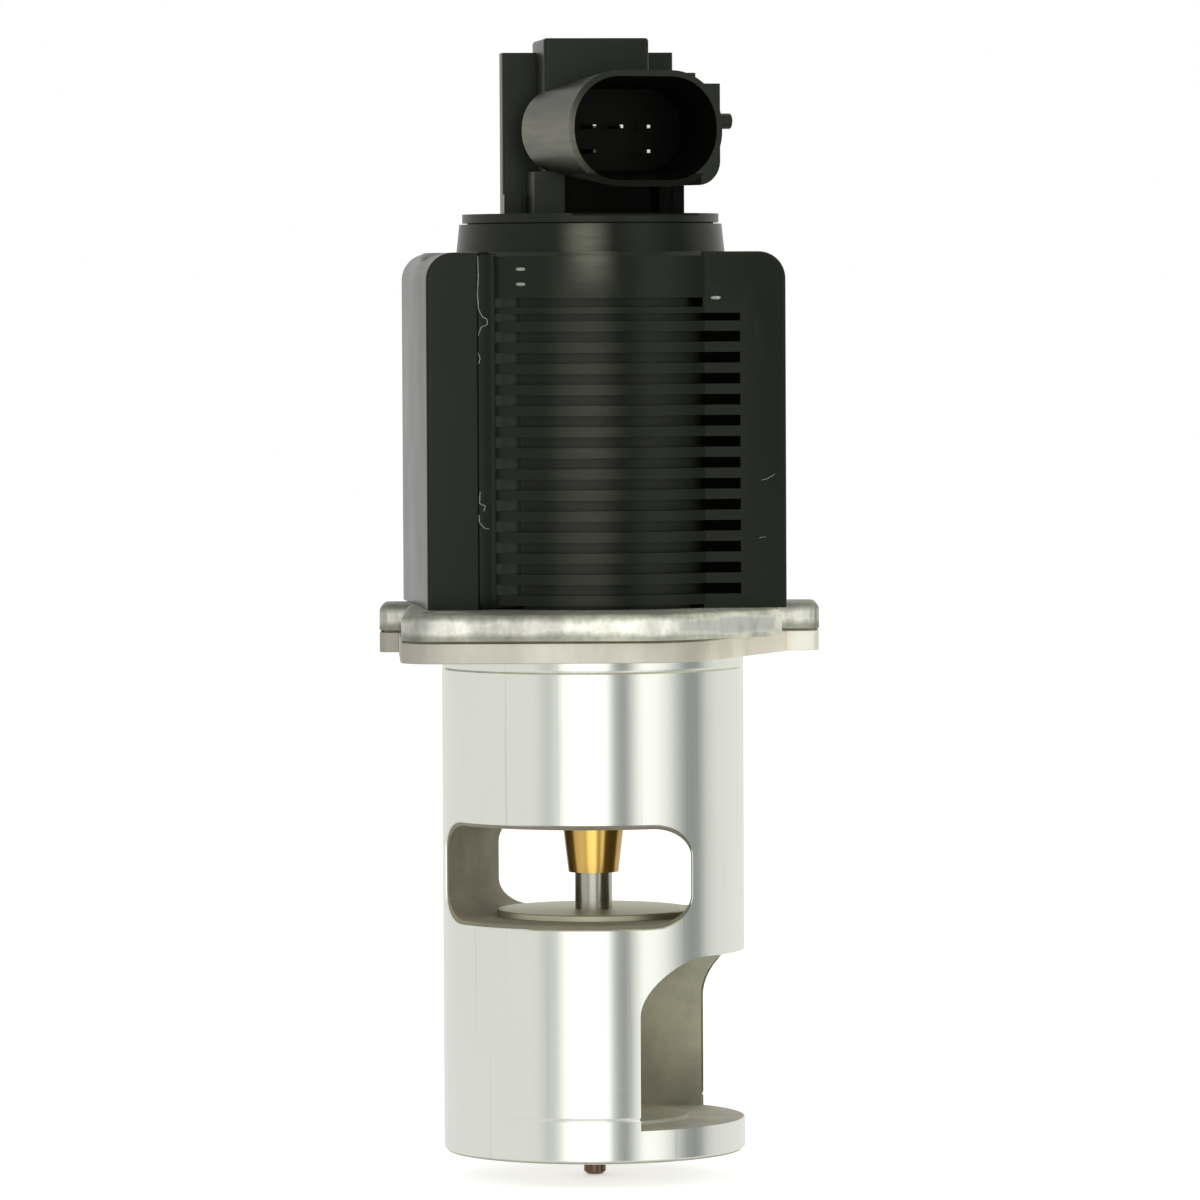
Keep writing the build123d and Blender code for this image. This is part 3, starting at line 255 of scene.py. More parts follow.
# Soft boxes and gaps round the valve, as (degrees to the right of the front, brightness)
SOFT_BOXES = (
    (-173.7, 0.84), (-60.0, 0.86), (-50.0, 0.86), (-42.5, 0.64), (-35.5, 0.72), (-27.5, 1.4), (3.5, 1.5),
    (10.0, 0.48), (18.0, 0.28), (25.0, 0.85), (32.0, 1.3), (44.0, 1.2), (52.0, 1.0), (61.0, 0.62),
    (70.0, 0.32), (81.0, 0.33), (90.5, 0.72), (103.0, 0.87), (136.0, 0.9), (174.0, 0.84),
)
BEHIND = 0.84  # brightness straight behind the valve
FLOOR_REACH = 3.0  # from the axis to the floor's edges
ABOVE = (0.4, 0.4, 0.395)  # half the colour overhead and underneath
BRIGHTEST = 2.0  # brightness that a ramp's white stands for


# ---------------------------------------------------------------------------------------------------------
# Node materials
# ---------------------------------------------------------------------------------------------------------
def shade(tint, factor):
    """A colour times a number."""
    return tuple(factor * part for part in tint)


class Nodes:
    """Adds nodes to a tree and joins them."""

    def __init__(self, tree):
        self.tree = tree
        self.tree.nodes.clear()

    def add(self, kind, **fields):
        """New node of a kind, with its fields set."""
        made = self.tree.nodes.new(kind)
        for field, value in fields.items():
            setattr(made, field, value)
        return made

    def link(self, start, end):
        """Joins an output to an input."""
        self.tree.links.new(start, end)

    def feed(self, socket, value):
        """Joins an output to an input, or gives the input a number, a vector or an opaque colour."""
        if isinstance(value, bpy.types.NodeSocket):
            self.link(value, socket)
        elif isinstance(value, (int, float)):
            socket.default_value = value
        elif len(socket.default_value) == 4:
            socket.default_value = (*value, 1.0)
        else:
            socket.default_value = tuple(value)

    def math(self, operation, first, second=None):
        """A Math node on outputs or numbers; its output."""
        made = self.add("ShaderNodeMath", operation=operation)
        self.feed(made.inputs[0], first)
        if second is not None:
            self.feed(made.inputs[1], second)
        return made.outputs[0]

    def product(self, *factors):
        """Outputs or numbers multiplied together."""
        whole = factors[0]
        for factor in factors[1:]:
            whole = self.math("MULTIPLY", whole, factor)
        return whole

    def mapped(self, value, start=(0.0, 1.0), end=(0.0, 1.0), kind="LINEAR"):
        """A value moved from one range to another, and held at its ends."""
        made = self.add("ShaderNodeMapRange", interpolation_type=kind)
        for name, number in zip(("From Min", "From Max", "To Min", "To Max"), (*start, *end)):
            made.inputs[name].default_value = number
        self.link(value, made.inputs["Value"])
        return made.outputs["Result"]

    def between(self, value, low, high):
        """0 up to low, 1 from high on, straight between; low may be the larger."""
        return self.mapped(value, start=(low, high))

    def spread(self, value, low, high):
        """Maps 0..1 to low..high."""
        return self.mapped(value, end=(low, high))

    def bell(self, value, middle, reach):
        """1 at the middle, falling smoothly to 0 at a reach on either side."""
        away = self.math("ABSOLUTE", self.math("SUBTRACT", value, middle))
        return self.mapped(away, (0.0, reach), (1.0, 0.0), "SMOOTHSTEP")

    def blend(self, share, first, second):
        """Mixes two colours."""
        made = self.add("ShaderNodeMix", data_type="RGBA")
        for index, value in ((0, share), (6, first), (7, second)):
            self.feed(made.inputs[index], value)
        return made.outputs[2]

    def ramp(self, share, stops):
        """Colour that runs through (share, colour) stops, of which the first is at 0 and the last at 1."""
        made = self.add("ShaderNodeValToRGB")
        elements = made.color_ramp.elements
        elements[0].color = (*stops[0][1], 1.0)
        elements[-1].color = (*stops[-1][1], 1.0)
        for place, tint in stops[1:-1]:
            elements.new(place).color = (*tint, 1.0)
        self.link(share, made.inputs["Fac"])
        return made.outputs["Color"]


class Paint(Nodes):
    """One node material under construction: its tree, and the Principled shader everything feeds."""

    def __init__(self, name, base, rough, metallic, specular=0.5):
        self.material = bpy.data.materials.new(name)
        self.material.use_nodes = True
        super().__init__(self.material.node_tree)
        self.shader = self.add("ShaderNodeBsdfPrincipled")
        self.output = self.add("ShaderNodeOutputMaterial")
        self.link(self.shader.outputs["BSDF"], self.output.inputs["Surface"])
        self.feed(self.shader.inputs["Base Color"], base)
        self.feed(self.shader.inputs["Roughness"], rough)
        self.feed(self.shader.inputs["Metallic"], metallic)
        self.feed(self.shader.inputs["Specular IOR Level"], specular)
        self.coords = self.add("ShaderNodeTexCoord").outputs["Object"]

    def vector(self, operation, first, second):
        """A Vector Math node."""
        made = self.add("ShaderNodeVectorMath", operation=operation)
        self.feed(made.inputs[0], first)
        if second is not None:
            self.feed(made.inputs[1], second)
        return made

    def noise(self, scale, size, detail=3.0, rough=0.5):
        """Noise on object coordinates stretched by a scale along x, y and z; between 0 and 1."""
        mapping = self.add("ShaderNodeMapping")
        self.feed(mapping.inputs["Vector"], self.coords)
        self.feed(mapping.inputs["Scale"], scale)
        made = self.add("ShaderNodeTexNoise")
        self.feed(made.inputs["Vector"], mapping.outputs["Vector"])
        self.feed(made.inputs["Scale"], size)
        self.feed(made.inputs["Detail"], detail)
        self.feed(made.inputs["Roughness"], rough)
        return made.outputs["Fac"]

    def even_noise(self, size, detail=3.0, rough=0.5):
        """Noise with the same grain in every direction."""
        return self.noise((1.0, 1.0, 1.0), size, detail, rough)

    def tone(self, value, stops):
        """Brightness that runs through (position, level) stops as the value moves; levels go up to 2."""
        low, high = stops[0][0], stops[-1][0]
        greys = [((place - low) / (high - low), (amount / BRIGHTEST,) * 3) for place, amount in stops]
        return self.math("MULTIPLY", self.ramp(self.between(value, low, high), greys), BRIGHTEST)

    def times(self, tint, factor):
        """A colour times a number, never paler than the palest metal."""
        made = self.vector("SCALE", tint, None)
        self.feed(made.inputs["Scale"], factor)
        return self.vector("MINIMUM", made.outputs["Vector"], PALEST).outputs["Vector"]

    def along(self, direction):
        """Distance along a direction, in metres."""
        return self.vector("DOT_PRODUCT", self.coords, direction).outputs["Value"]

    def radius(self):
        """Distance from the valve axis, in metres."""
        flat = self.vector("MULTIPLY", self.coords, (1.0, 1.0, 0.0)).outputs["Vector"]
        return self.vector("LENGTH", flat, None).outputs["Value"]

    def height(self):
        """Height above the seating plane, in metres."""
        return self.along(Z_AXIS)

    def inside(self, box, edge):
        """1 inside a box given as (low, high) along x, y and z, falling to 0 over an edge outside it."""
        walls = []
        for direction, (low, high) in zip((X_AXIS, Y_AXIS, Z_AXIS), box):
            place = self.along(direction)
            walls.append(self.between(place, low - edge, low))
            walls.append(self.between(place, high + edge, high))
        return self.product(*walls)

    def bump(self, height, depth, strength=1.0, under=None):
        """Normal bent by a height in 0..1 that stands for a depth in metres, over another bent normal."""
        made = self.add("ShaderNodeBump")
        self.feed(made.inputs["Strength"], strength)
        self.feed(made.inputs["Distance"], depth)
        self.link(height, made.inputs["Height"])
        if under is not None:
            self.link(under, made.inputs["Normal"])
        return made.outputs["Normal"]

    def finish(self, tint, normal, sheen=None):
        """Joins colour, normal and roughness to the shader; the finished material."""
        self.link(tint, self.shader.inputs["Base Color"])
        self.link(normal, self.shader.inputs["Normal"])
        if sheen is not None:
            self.link(sheen, self.shader.inputs["Roughness"])
        return self.material


def lathe_marks(paint, base, rough):
    """Colour, roughness and normal of metal turned on a lathe: fine rings along the axis, patchy sheen."""
    rings = paint.noise((1.0, 1.0, 260.0), 34.0, 4.0, 0.62)
    patches = paint.noise((30.0, 30.0, 22.0), 1.0)
    tint = paint.blend(paint.between(patches, 0.35, 0.7), shade(base, 0.97), base)
    return tint, paint.spread(rings, rough - 0.05, rough + 0.07), paint.bump(rings, 0.0000012)


def turned_metal(name, base, rough, bands=None, brown_tip=False):
    """Metal turned on a lathe, with (x, level) bands of painted highlight and shade across it, or a dull
    brown lower end.
    """
    paint = Paint(name, base, rough, 1.0)
    tint, sheen, normal = lathe_marks(paint, base, rough)
    # painted highlight and shade: lighter and darker across the piece from left to right
    if bands is not None:
        tint = paint.times(tint, paint.tone(paint.along(X_AXIS), bands))
    if brown_tip:
        tint = paint.blend(paint.between(paint.height(), TIP_START, TIP_FULL), tint, TIP_BROWN)
    return paint.finish(tint, normal, sheen)


def machined_body(name, base, rough, milled, browned):
    """Turned outside with faint scratches; milled, duller inside that the gas has browned above SOOT_Z."""
    paint = Paint(name, base, rough, 1.0)
    turned, sheen, normal = lathe_marks(paint, base, rough)
    scratches = paint.between(paint.noise((1.0, 1.0, 0.018), 1100.0, 2.0), 0.63, 0.74)
    turned = paint.times(turned, paint.spread(scratches, 1.0, 0.9))
    cutter = paint.noise((1.0, 1.0, 2.2), 900.0, 2.0, 0.7)
    stains = paint.even_noise(120.0, 4.0, 0.6)
    pale = paint.spread(paint.between(paint.height(), PORT_SHADE_LOW, PORT_SHADE_HIGH), 0.66, 1.0)
    sooty = paint.between(paint.height(), SOOT_Z, SOOT_Z + SOOT_EDGE)
    bare = paint.blend(sooty, paint.times(milled, pale), browned)
    bare = paint.times(bare, paint.spread(paint.between(stains, 0.3, 0.75), 1.0, 0.72))
    rim = paint.math("LESS_THAN", paint.height(), RIM_Z)
    inner = paint.math("LESS_THAN", paint.radius(), MILLED_R)
    inner = paint.product(inner, paint.math("SUBTRACT", 1.0, rim))
    both = paint.add("ShaderNodeMix", data_type="FLOAT")
    for index, value in ((0, inner), (2, sheen), (3, paint.spread(cutter, 0.66, 0.82))):
        paint.link(value, both.inputs[index])
    normal = paint.bump(paint.product(cutter, inner), 0.00002, 0.5, normal)
    return paint.finish(paint.blend(inner, turned, bare), normal, both.outputs[0])


def plain_metal(name, base, rough, dark_corner=None):
    """Metal with a fine grain and faint darker patches; darkened nearly to black left of and below a corner
    (x, z).
    """
    paint = Paint(name, base, rough, 1.0)
    fine = paint.even_noise(700.0, 3.0, 0.6)
    patches = paint.even_noise(90.0, 4.0)
    tint = paint.blend(paint.between(patches, 0.35, 0.75), base, shade(base, 0.78))
    if dark_corner is not None:
        left = paint.math("LESS_THAN", paint.along(X_AXIS), dark_corner[0])
        below = paint.math("LESS_THAN", paint.height(), dark_corner[1])
        tint = paint.blend(paint.product(left, below), tint, shade(base, 0.06))
    sheen = paint.spread(fine, rough - 0.07, rough + 0.09)
    return paint.finish(tint, paint.bump(fine, 0.000006, 0.5), sheen)


def sheared_plate(name, base, low_z, high_z):
    """Zinc-plated punched plate: burnished, lumpy middle of the edge between duller grey borders."""
    paint = Paint(name, base, 0.3, 1.0)
    share = paint.between(paint.height(), low_z, high_z)
    border = paint.math("ABSOLUTE", paint.math("SUBTRACT", paint.product(share, 2.0), 1.0))
    middle = paint.math("SUBTRACT", 1.0, border)
    lumps = paint.noise((1.0, 1.0, 0.35), 190.0, 3.0, 0.55)
    tears = paint.noise((1.0, 1.0, 0.12), 900.0, 3.0, 0.6)
    worn = paint.product(paint.math("ADD", lumps, paint.product(tears, 0.35)), middle)
    burnish = paint.between(worn, 0.18, 0.46)
    patches = paint.even_noise(140.0, 4.0, 0.6)
    dull = paint.blend(paint.between(patches, 0.3, 0.72), base, shade(base, 0.74))
    tint = paint.blend(burnish, dull, (0.86, 0.86, 0.76))
    # painted highlight and shade: the edge made brighter or darker from left to right
    ragged = paint.product(paint.even_noise(210.0, 3.0, 0.6), 0.003)
    place = paint.math("ADD", paint.along(X_AXIS), ragged)
    tint = paint.times(tint, paint.tone(place, UPPER_PLATE_LIGHT))
    flecks = paint.between(paint.noise((1.0, 1.0, 0.55), 430.0, 4.0, 0.7), 0.36, 0.64)
    tint = paint.times(tint, paint.spread(flecks, 0.8, 1.14))
    normal = paint.bump(tears, 0.00003, 0.5, paint.bump(lumps, 0.00016, 0.9))
    return paint.finish(tint, normal, paint.spread(burnish, 0.6, 0.36))


def brushed_plate(name, base):
    """Steel plate with a brushed edge: streaks along the edge and faint warm stains."""
    paint = Paint(name, base, 0.42, 1.0)
    streaks = paint.noise((1.0, 1.0, 16.0), 260.0, 4.0, 0.6)
    stains = paint.noise((1.0, 1.0, 0.6), 75.0, 4.0, 0.55)
    warm = (0.62 * base[0], 0.6 * base[1], 0.58 * base[2])
    tint = paint.blend(paint.between(stains, 0.35, 0.7), base, warm)
    tint = paint.blend(paint.spread(streaks, 0.0, 0.3), tint, (0.82, 0.78, 0.7))
    # painted highlight and shade: the edge made brighter or darker from left to right
    tint = paint.times(tint, paint.tone(paint.along(X_AXIS), LOWER_PLATE_LIGHT))
    return paint.finish(tint, paint.bump(streaks, 0.00002, 0.5), paint.spread(streaks, 0.5, 0.62))


def moulded_plastic(name, base, rough, specular, patches=(), recess=None):
    """Moulded plastic: even satin gloss, slight waviness, paler worn spots at random.

    Patches are (highlight, colour) pairs: painted highlights, streaked and paler, at the front only. Faces
    in a recess
    get painted shade: near black and matt.
    """
    paint = Paint(name, base, rough, 0.0, specular)
    paint.shader.inputs["Specular Tint"].default_value = (0.94, 1.0, 0.86, 1.0)
    waves = paint.even_noise(55.0, 2.0)
    fine = paint.even_noise(2600.0, 2.0)
    rubbed_and_highlight = paint.between(paint.noise((1.0, 1.0, 0.5), 170.0, 6.0, 0.68), 0.62, 0.8)
    tint = paint.blend(rubbed_and_highlight, base, tuple(1.9 * part + 0.002 for part in base))
    sheen = paint.spread(waves, rough - 0.05, rough + 0.08)
    # painted highlights: paler streaked areas, only at the front
    for patch, pale in patches:
        across = paint.bell(paint.along(patch.direction), patch.middle, patch.reach)
        streaks = paint.spread(paint.noise((1.0, 1.0, 9.0), 130.0, 3.0, 0.6), 0.35, 1.15)
        up = paint.bell(paint.height(), patch.height, patch.rise)
        front = paint.math("LESS_THAN", paint.along(Y_AXIS), 0.0)
        tint = paint.blend(paint.product(across, streaks, up, front), tint, pale)
    # painted shade: the faces in the recess are near black and matt
    if recess is not None:
        deep = paint.inside(recess, RECESS_EDGE)
        tint = paint.blend(deep, tint, PAINTED_RECESS_SHADE)
        sheen = paint.math("MAXIMUM", sheen, paint.product(deep, 0.95))
    normal = paint.bump(fine, 0.000004, 0.4, paint.bump(waves, 0.00006, 0.35))
    return paint.finish(tint, normal, sheen)


def wound_wire(name, base, pitch):
    """Enamelled wire wound along the axis: round turns at a pitch, in metres."""
    paint = Paint(name, base, 0.32, 0.9)
    turns = paint.math("ABSOLUTE", paint.math("SINE", paint.product(paint.height(), 2.0 * pi / pitch)))
    tint = paint.blend(paint.spread(paint.even_noise(150.0), 0.0, 0.4), base, shade(base, 0.5))
    return paint.finish(tint, paint.bump(turns, 0.00015))


def soft_rubber(name, base):
    """Rubber or coated gasket sheet: dull, slightly mottled."""
    paint = Paint(name, base, 0.7, 0.0, 0.3)
    mottle = paint.even_noise(400.0, 4.0)
    tint = paint.blend(mottle, base, shade(base, 1.6))
    return paint.finish(tint, paint.bump(mottle, 0.00002, 0.5), paint.spread(mottle, 0.62, 0.8))


# ---------------------------------------------------------------------------------------------------------
# Meshes and lines
# ---------------------------------------------------------------------------------------------------------
def smooth(mesh, angle):
    """Smooth shading, broken where faces meet at more than an angle, in degrees."""
    mesh.polygons.foreach_set("use_smooth", np.ones(len(mesh.polygons), dtype=bool))
    mesh.set_sharp_from_angle(angle=radians(angle))


def read_rows(items, field):
    """A vector field of a mesh's vertices, corners or faces, as rows of three numbers."""
    values = np.empty(len(items) * 3)
    items.foreach_get(field, values)
    return values.reshape(-1, 3)


def joined_mesh(node, name):
    """Copy of a CAD node's mesh whose loose triangles share their corners; coplanar ones become one face."""
    work = bmesh.new()
    work.from_mesh(CAD[node].data)
    bmesh.ops.remove_doubles(work, verts=work.verts, dist=1e-6)
    flat = radians(COPLANAR_TURN)
    bmesh.ops.dissolve_limit(
        work, angle_limit=flat, use_dissolve_boundaries=False, verts=work.verts, edges=work.edges
    )
    mesh = bpy.data.meshes.new(name)
    work.to_mesh(mesh)
    work.free()
    stale = mesh.attributes.get("custom_normal")
    if stale is not None:
        mesh.attributes.remove(stale)
    smooth(mesh, CAD_CREASE)
    return mesh


def round_normals(mesh, radii, slack):
    """Exact normals on walls turned about the axis.

    On a wall of revolution the normal at a corner keeps the facet's slope, and its flat part points straight
    out from (or in to) the axis: n = (s * x / r, s * y / r, slope). Only corners within a slack of the given
    radii, on facets that face that way, are set; the others keep the smooth normal.
    """
    corners = np.empty(len(mesh.loops), dtype=np.int32)
    mesh.loops.foreach_get("vertex_index", corners)
    sizes = np.empty(len(mesh.polygons), dtype=np.int32)
    mesh.polygons.foreach_get("loop_total", sizes)
    points = read_rows(mesh.vertices, "co")[corners]
    facet = np.repeat(read_rows(mesh.polygons, "normal"), sizes, axis=0)
    normals = read_rows(mesh.corner_normals, "vector")
    r = np.hypot(points[:, 0], points[:, 1])
    out = points[:, :2] / np.maximum(r, 1e-9)[:, None]
    flat = np.sqrt(np.maximum(1.0 - facet[:, 2] ** 2, 0.0))
    facing = (facet[:, :2] * out).sum(axis=1)
    near = (np.abs(r[:, None] - np.array(radii)) < slack).any(axis=1)
    chosen = near & (np.abs(facing) > 0.99 * flat) & (flat > 0.3)
    exact = np.column_stack((out * (np.sign(facing) * flat)[:, None], facet[:, 2]))
    normals[chosen] = exact[chosen]
    mesh.normals_split_custom_set(normals.tolist())


def grid_mesh(name, points, wrap_columns=False):
    """Surface from a grid of points: rows along the first parameter, columns along the second.

    Each face joins points (i, j), (i, j + 1), (i + 1, j + 1) and (i + 1, j); wrapped columns join the last
    to the first. Corners that fall together, as at a pole, are merged and the faces turned outwards.
    """
    rows, columns = points.shape[:2]
    index = np.arange(rows * columns).reshape(rows, columns)
    if wrap_columns:
        index = np.hstack((index, index[:, :1]))
    quads = np.stack((index[:-1, :-1], index[:-1, 1:], index[1:, 1:], index[1:, :-1]), axis=-1)
    mesh = bpy.data.meshes.new(name)
    mesh.from_pydata(points.reshape(-1, 3).tolist(), [], quads.reshape(-1, 4).tolist())
    work = bmesh.new()
    work.from_mesh(mesh)
    bmesh.ops.remove_doubles(work, verts=work.verts, dist=1e-7)
    bmesh.ops.recalc_face_normals(work, faces=work.faces)
    work.to_mesh(mesh)
    work.free()
    smooth(mesh, GRID_CREASE)
    return mesh


def unit(vectors):
    """Rows of vectors, each brought to length 1."""
    return vectors / np.linalg.norm(vectors, axis=1)[:, None]


def rooted(wave, power):
    """A wave's size to a power, with its sign kept."""
    return np.sign(wave) * np.abs(wave) ** power


def even_line(points, count, reach):
    """Line of a count of even steps along straight runs through points, rounded by a running mean.

    The mean is taken over each point and its neighbours up to a reach on either side.
    """
    step = np.linalg.norm(np.diff(points, axis=0), axis=1)
    knots = np.concatenate(([0.0], np.cumsum(step))) / step.sum()
    share = np.linspace(0.0, 1.0, count)
    line = np.stack([np.interp(share, knots, row) for row in points.T], axis=-1)
    padded = np.pad(line, ((reach, reach), (0, 0)), mode="edge")
    return sum(padded[shift:shift + count] for shift in range(2 * reach + 1)) / (2.0 * reach + 1.0)


SKIN_LINE = even_line(SKIN_PATH, 200, 5)


def ear_spot(x, z):
    """Point on the flat front of the right ear, from millimetres."""
    return (x * MM, EAR_FRONT * MM, z * MM)


def skin_spot(x, z):
    """Point on the skin in the left ear's corner, from millimetres."""
    return (x * MM, float(np.interp(x * MM, SKIN_LINE[:, 0], SKIN_LINE[:, 1])), z * MM)


def band_spot(degrees, z):
    """Point on the band above the fins, and its turn about the axis."""
    angle = radians(degrees)
    return (BARREL_R * MM * sin(angle), -BARREL_R * MM * cos(angle), z * MM), angle


# Burrs, as (radius, kind of spot, spots in millimetres), and pips, as (point, turn about the axis)
BURRS = (
    (0.00009, skin_spot, (
        (-18.9, 59.2), (-18.8, 56.0), (-18.95, 53.4), (-18.8, 51.2), (-18.2, 50.0), (-17.5, 49.8),
        (-17.4, 48.9), (-18.4, 48.6), (-18.9, 47.2),
    )),
    (0.00008, skin_spot, ((-18.9, 44.8), (-18.6, 44.0), (-18.8, 43.2))),
    (0.00009, skin_spot, ((-18.7, 24.6), (-18.8, 22.8), (-17.9, 22.4), (-18.2, 21.6))),
    (0.00009, skin_spot, ((-18.9, 21.2), (-18.8, 20.0), (-18.1, 19.2), (-17.3, 19.0))),
    (0.00005, ear_spot, ((22.7, 25.9), (23.6, 26.1), (24.8, 26.8))),
    (0.00004, ear_spot, ((22.3, 17.4), (23.0, 17.6), (23.5, 17.5))),
)
PIPS = (band_spot(-29.9, 57.0), band_spot(-29.9, 54.8), (ear_spot(16.1, 52.7), 0.0))


def paint_node(node, material):
    """Gives a CAD node a material, leaving its mesh as it is."""
    item = CAD[node]
    if not item.material_slots:
        raise RuntimeError("no material slot on " + node)
    for slot in item.material_slots:
        slot.material = material


def placed(name, mesh, material):
    """New object for a mesh, with one material, in the scene."""
    piece = bpy.data.objects.new(name, mesh)
    bpy.context.scene.collection.objects.link(piece)
    mesh.materials.clear()
    mesh.materials.append(material)
    return piece


def put(name, mesh, node, material, replaces=()):
    """New piece on the body of the CAD node it belongs to; the nodes it replaces are hidden."""
    piece = placed(name, mesh, material)
    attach(piece, CAD[node]["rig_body"])
    if replaces:
        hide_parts(*replaces)
    return piece


def dress(name, node, material, radii=(), slack=WIDE_SLACK, edge=None):
    """Piece with the form of a CAD node, in its place: exact round walls at radii, edges rounded by a bevel.

    Returns the piece's mesh.
    """
    mesh = joined_mesh(node, name)
    if radii:
        round_normals(mesh, radii, slack)
    piece = put(name, mesh, node, material, (node,))
    if edge is not None:
        bevel = piece.modifiers.new("edges", "BEVEL")
        bevel.width = edge
        bevel.segments = 2
        bevel.limit_method = "ANGLE"
        bevel.angle_limit = radians(BEVEL_TURN)
        bevel.harden_normals = True
        bevel.use_clamp_overlap = True
    return mesh


# ---------------------------------------------------------------------------------------------------------
# Operators
# ---------------------------------------------------------------------------------------------------------
class EGR_OT_stage(bpy.types.Operator):
    """Camera, soft studio light, white surroundings and a pale floor"""

    bl_idname = "egr_valve.stage"
    bl_label = "Stage"

    def execute(self, context):
        look = context.scene.egr_stage
        scene = context.scene
        scene.view_settings.view_transform = "Standard"
        self.camera(scene, look)
        self.lamp(scene, "key_lamp", (-0.55, -0.75, 0.55), 0.7, look.key_power)
        self.lamp(scene, "side_lamp", (0.8, -0.35, 0.35), 0.6, look.rim_power)
        self.lamp(scene, "back_lamp", (0.25, 0.8, 0.6), 0.6, look.rim_power)
        self.surroundings(scene, look)
        self.floor(look)
        return {"FINISHED"}

    def camera(self, scene, look):
        """The camera, set up by turns about its own spot."""
        data = bpy.data.cameras.new("camera")
        data.lens = look.camera_lens
        data.sensor_width = 36.0
        data.clip_start = 0.05
        data.clip_end = 20.0
        item = bpy.data.objects.new("camera", data)
        side = look.camera_side
        away = look.camera_distance
        item.location = (-away * sin(side), -away * cos(side), look.camera_height)
        item.rotation_euler = (pi / 2 - look.camera_pitch, look.camera_roll, -side - look.camera_pan)
        scene.collection.objects.link(item)
        scene.camera = item

    def lamp(self, scene, name, place, size, power):
        """A square area lamp that looks at the middle of the valve and doesn't show in polished metal."""
        data = bpy.data.lights.new(name, "AREA")
        data.shape = "SQUARE"
        data.size = size
        data.energy = power
        item = bpy.data.objects.new(name, data)
        item.location = place
        middle = (cad_box[0] + cad_box[1]) / 2
        item.rotation_euler = (middle - item.location).to_track_quat("-Z", "Y").to_euler()
        item.visible_glossy = False
        scene.collection.objects.link(item)

    def surroundings(self, scene, look):
        """White all round to the camera; even fill on matt surfaces; soft boxes and gaps in polished ones.

        The soft boxes and gaps run round the valve; steep directions see an even grey.
        """
        world = bpy.data.worlds.new("studio")
        scene.world = world
        world.use_nodes = True
        nodes = Nodes(world.node_tree)
        parts = nodes.add("ShaderNodeSeparateXYZ")
        nodes.link(nodes.add("ShaderNodeTexCoord").outputs["Generated"], parts.inputs[0])
        angle = nodes.math("ARCTAN2", parts.outputs["X"], nodes.product(parts.outputs["Y"], -1.0))
        behind = (BEHIND / BRIGHTEST,) * 3
        stops = [((degrees + 180.0) / 360.0, self.box_tint(value)) for degrees, value in SOFT_BOXES]
        boxes = nodes.ramp(nodes.between(angle, -pi, pi), [(0.0, behind), *stops, (1.0, behind)])
        steep = nodes.between(nodes.math("ABSOLUTE", parts.outputs["Z"]), 0.55, 0.85)
        path = nodes.add("ShaderNodeLightPath").outputs
        polished = self.glow(nodes, nodes.blend(steep, boxes, ABOVE), BRIGHTEST)
        fill = self.glow(nodes, (1.0, 1.0, 0.99), look.fill_level)
        white = self.glow(nodes, (1.0, 1.0, 1.0), 1.0)
        lit = self.either(nodes, path["Is Glossy Ray"], fill, polished)
        seen = nodes.math("MAXIMUM", path["Is Camera Ray"], path["Is Transmission Ray"])
        output = nodes.add("ShaderNodeOutputWorld")
        nodes.link(self.either(nodes, seen, lit, white), output.inputs["Surface"])

    def box_tint(self, value):
        """Half the colour at a brightness: slightly warm where bright, slightly cool where dark."""
        grey = value / BRIGHTEST
        cool = min(max((0.8 - value) / 0.5, 0.0), 1.0)
        return (grey, grey * (1.0 + 0.07 * cool), grey * (0.985 + 0.09 * cool))

    def glow(self, nodes, tint, strength):
        """Light of a colour and strength from the surroundings."""
        made = nodes.add("ShaderNodeBackground")
        nodes.feed(made.inputs["Color"], tint)
        nodes.feed(made.inputs["Strength"], strength)
        return made.outputs[0]

    def either(self, nodes, share, first, second):
        """The first light at share 0, the second at share 1."""
        made = nodes.add("ShaderNodeMixShader")
        for index, value in enumerate((share, first, second)):
            nodes.link(value, made.inputs[index])
        return made.outputs[0]

    def floor(self, look):
        """Pale floor under the stem's tip; it runs to white for the camera and keeps the valve's shadow."""
        z = cad_box[0][2] - look.floor_gap
        edge = np.linspace(-FLOOR_REACH, FLOOR_REACH, 5)
        across, along = np.meshgrid(edge, edge, indexing="ij")
        mesh = grid_mesh("floor", np.stack((across, along, np.full_like(across, z)), axis=-1))
        paint = Paint("floor_paint", look.floor_colour, 0.9, 0.0, 0.0)
        path = paint.add("ShaderNodeLightPath")
        glow = paint.add("ShaderNodeEmission")
        paint.feed(glow.inputs["Color"], (1.0, 1.0, 1.0))
        paint.link(paint.product(path.outputs["Is Camera Ray"], look.floor_glow), glow.inputs["Strength"])
        both = paint.add("ShaderNodeAddShader")
        paint.link(paint.shader.outputs[0], both.inputs[0])
        paint.link(glow.outputs[0], both.inputs[1])
        paint.link(both.outputs[0], paint.output.inputs["Surface"])
        item = placed("floor", mesh, paint.material)
        item.visible_glossy = False


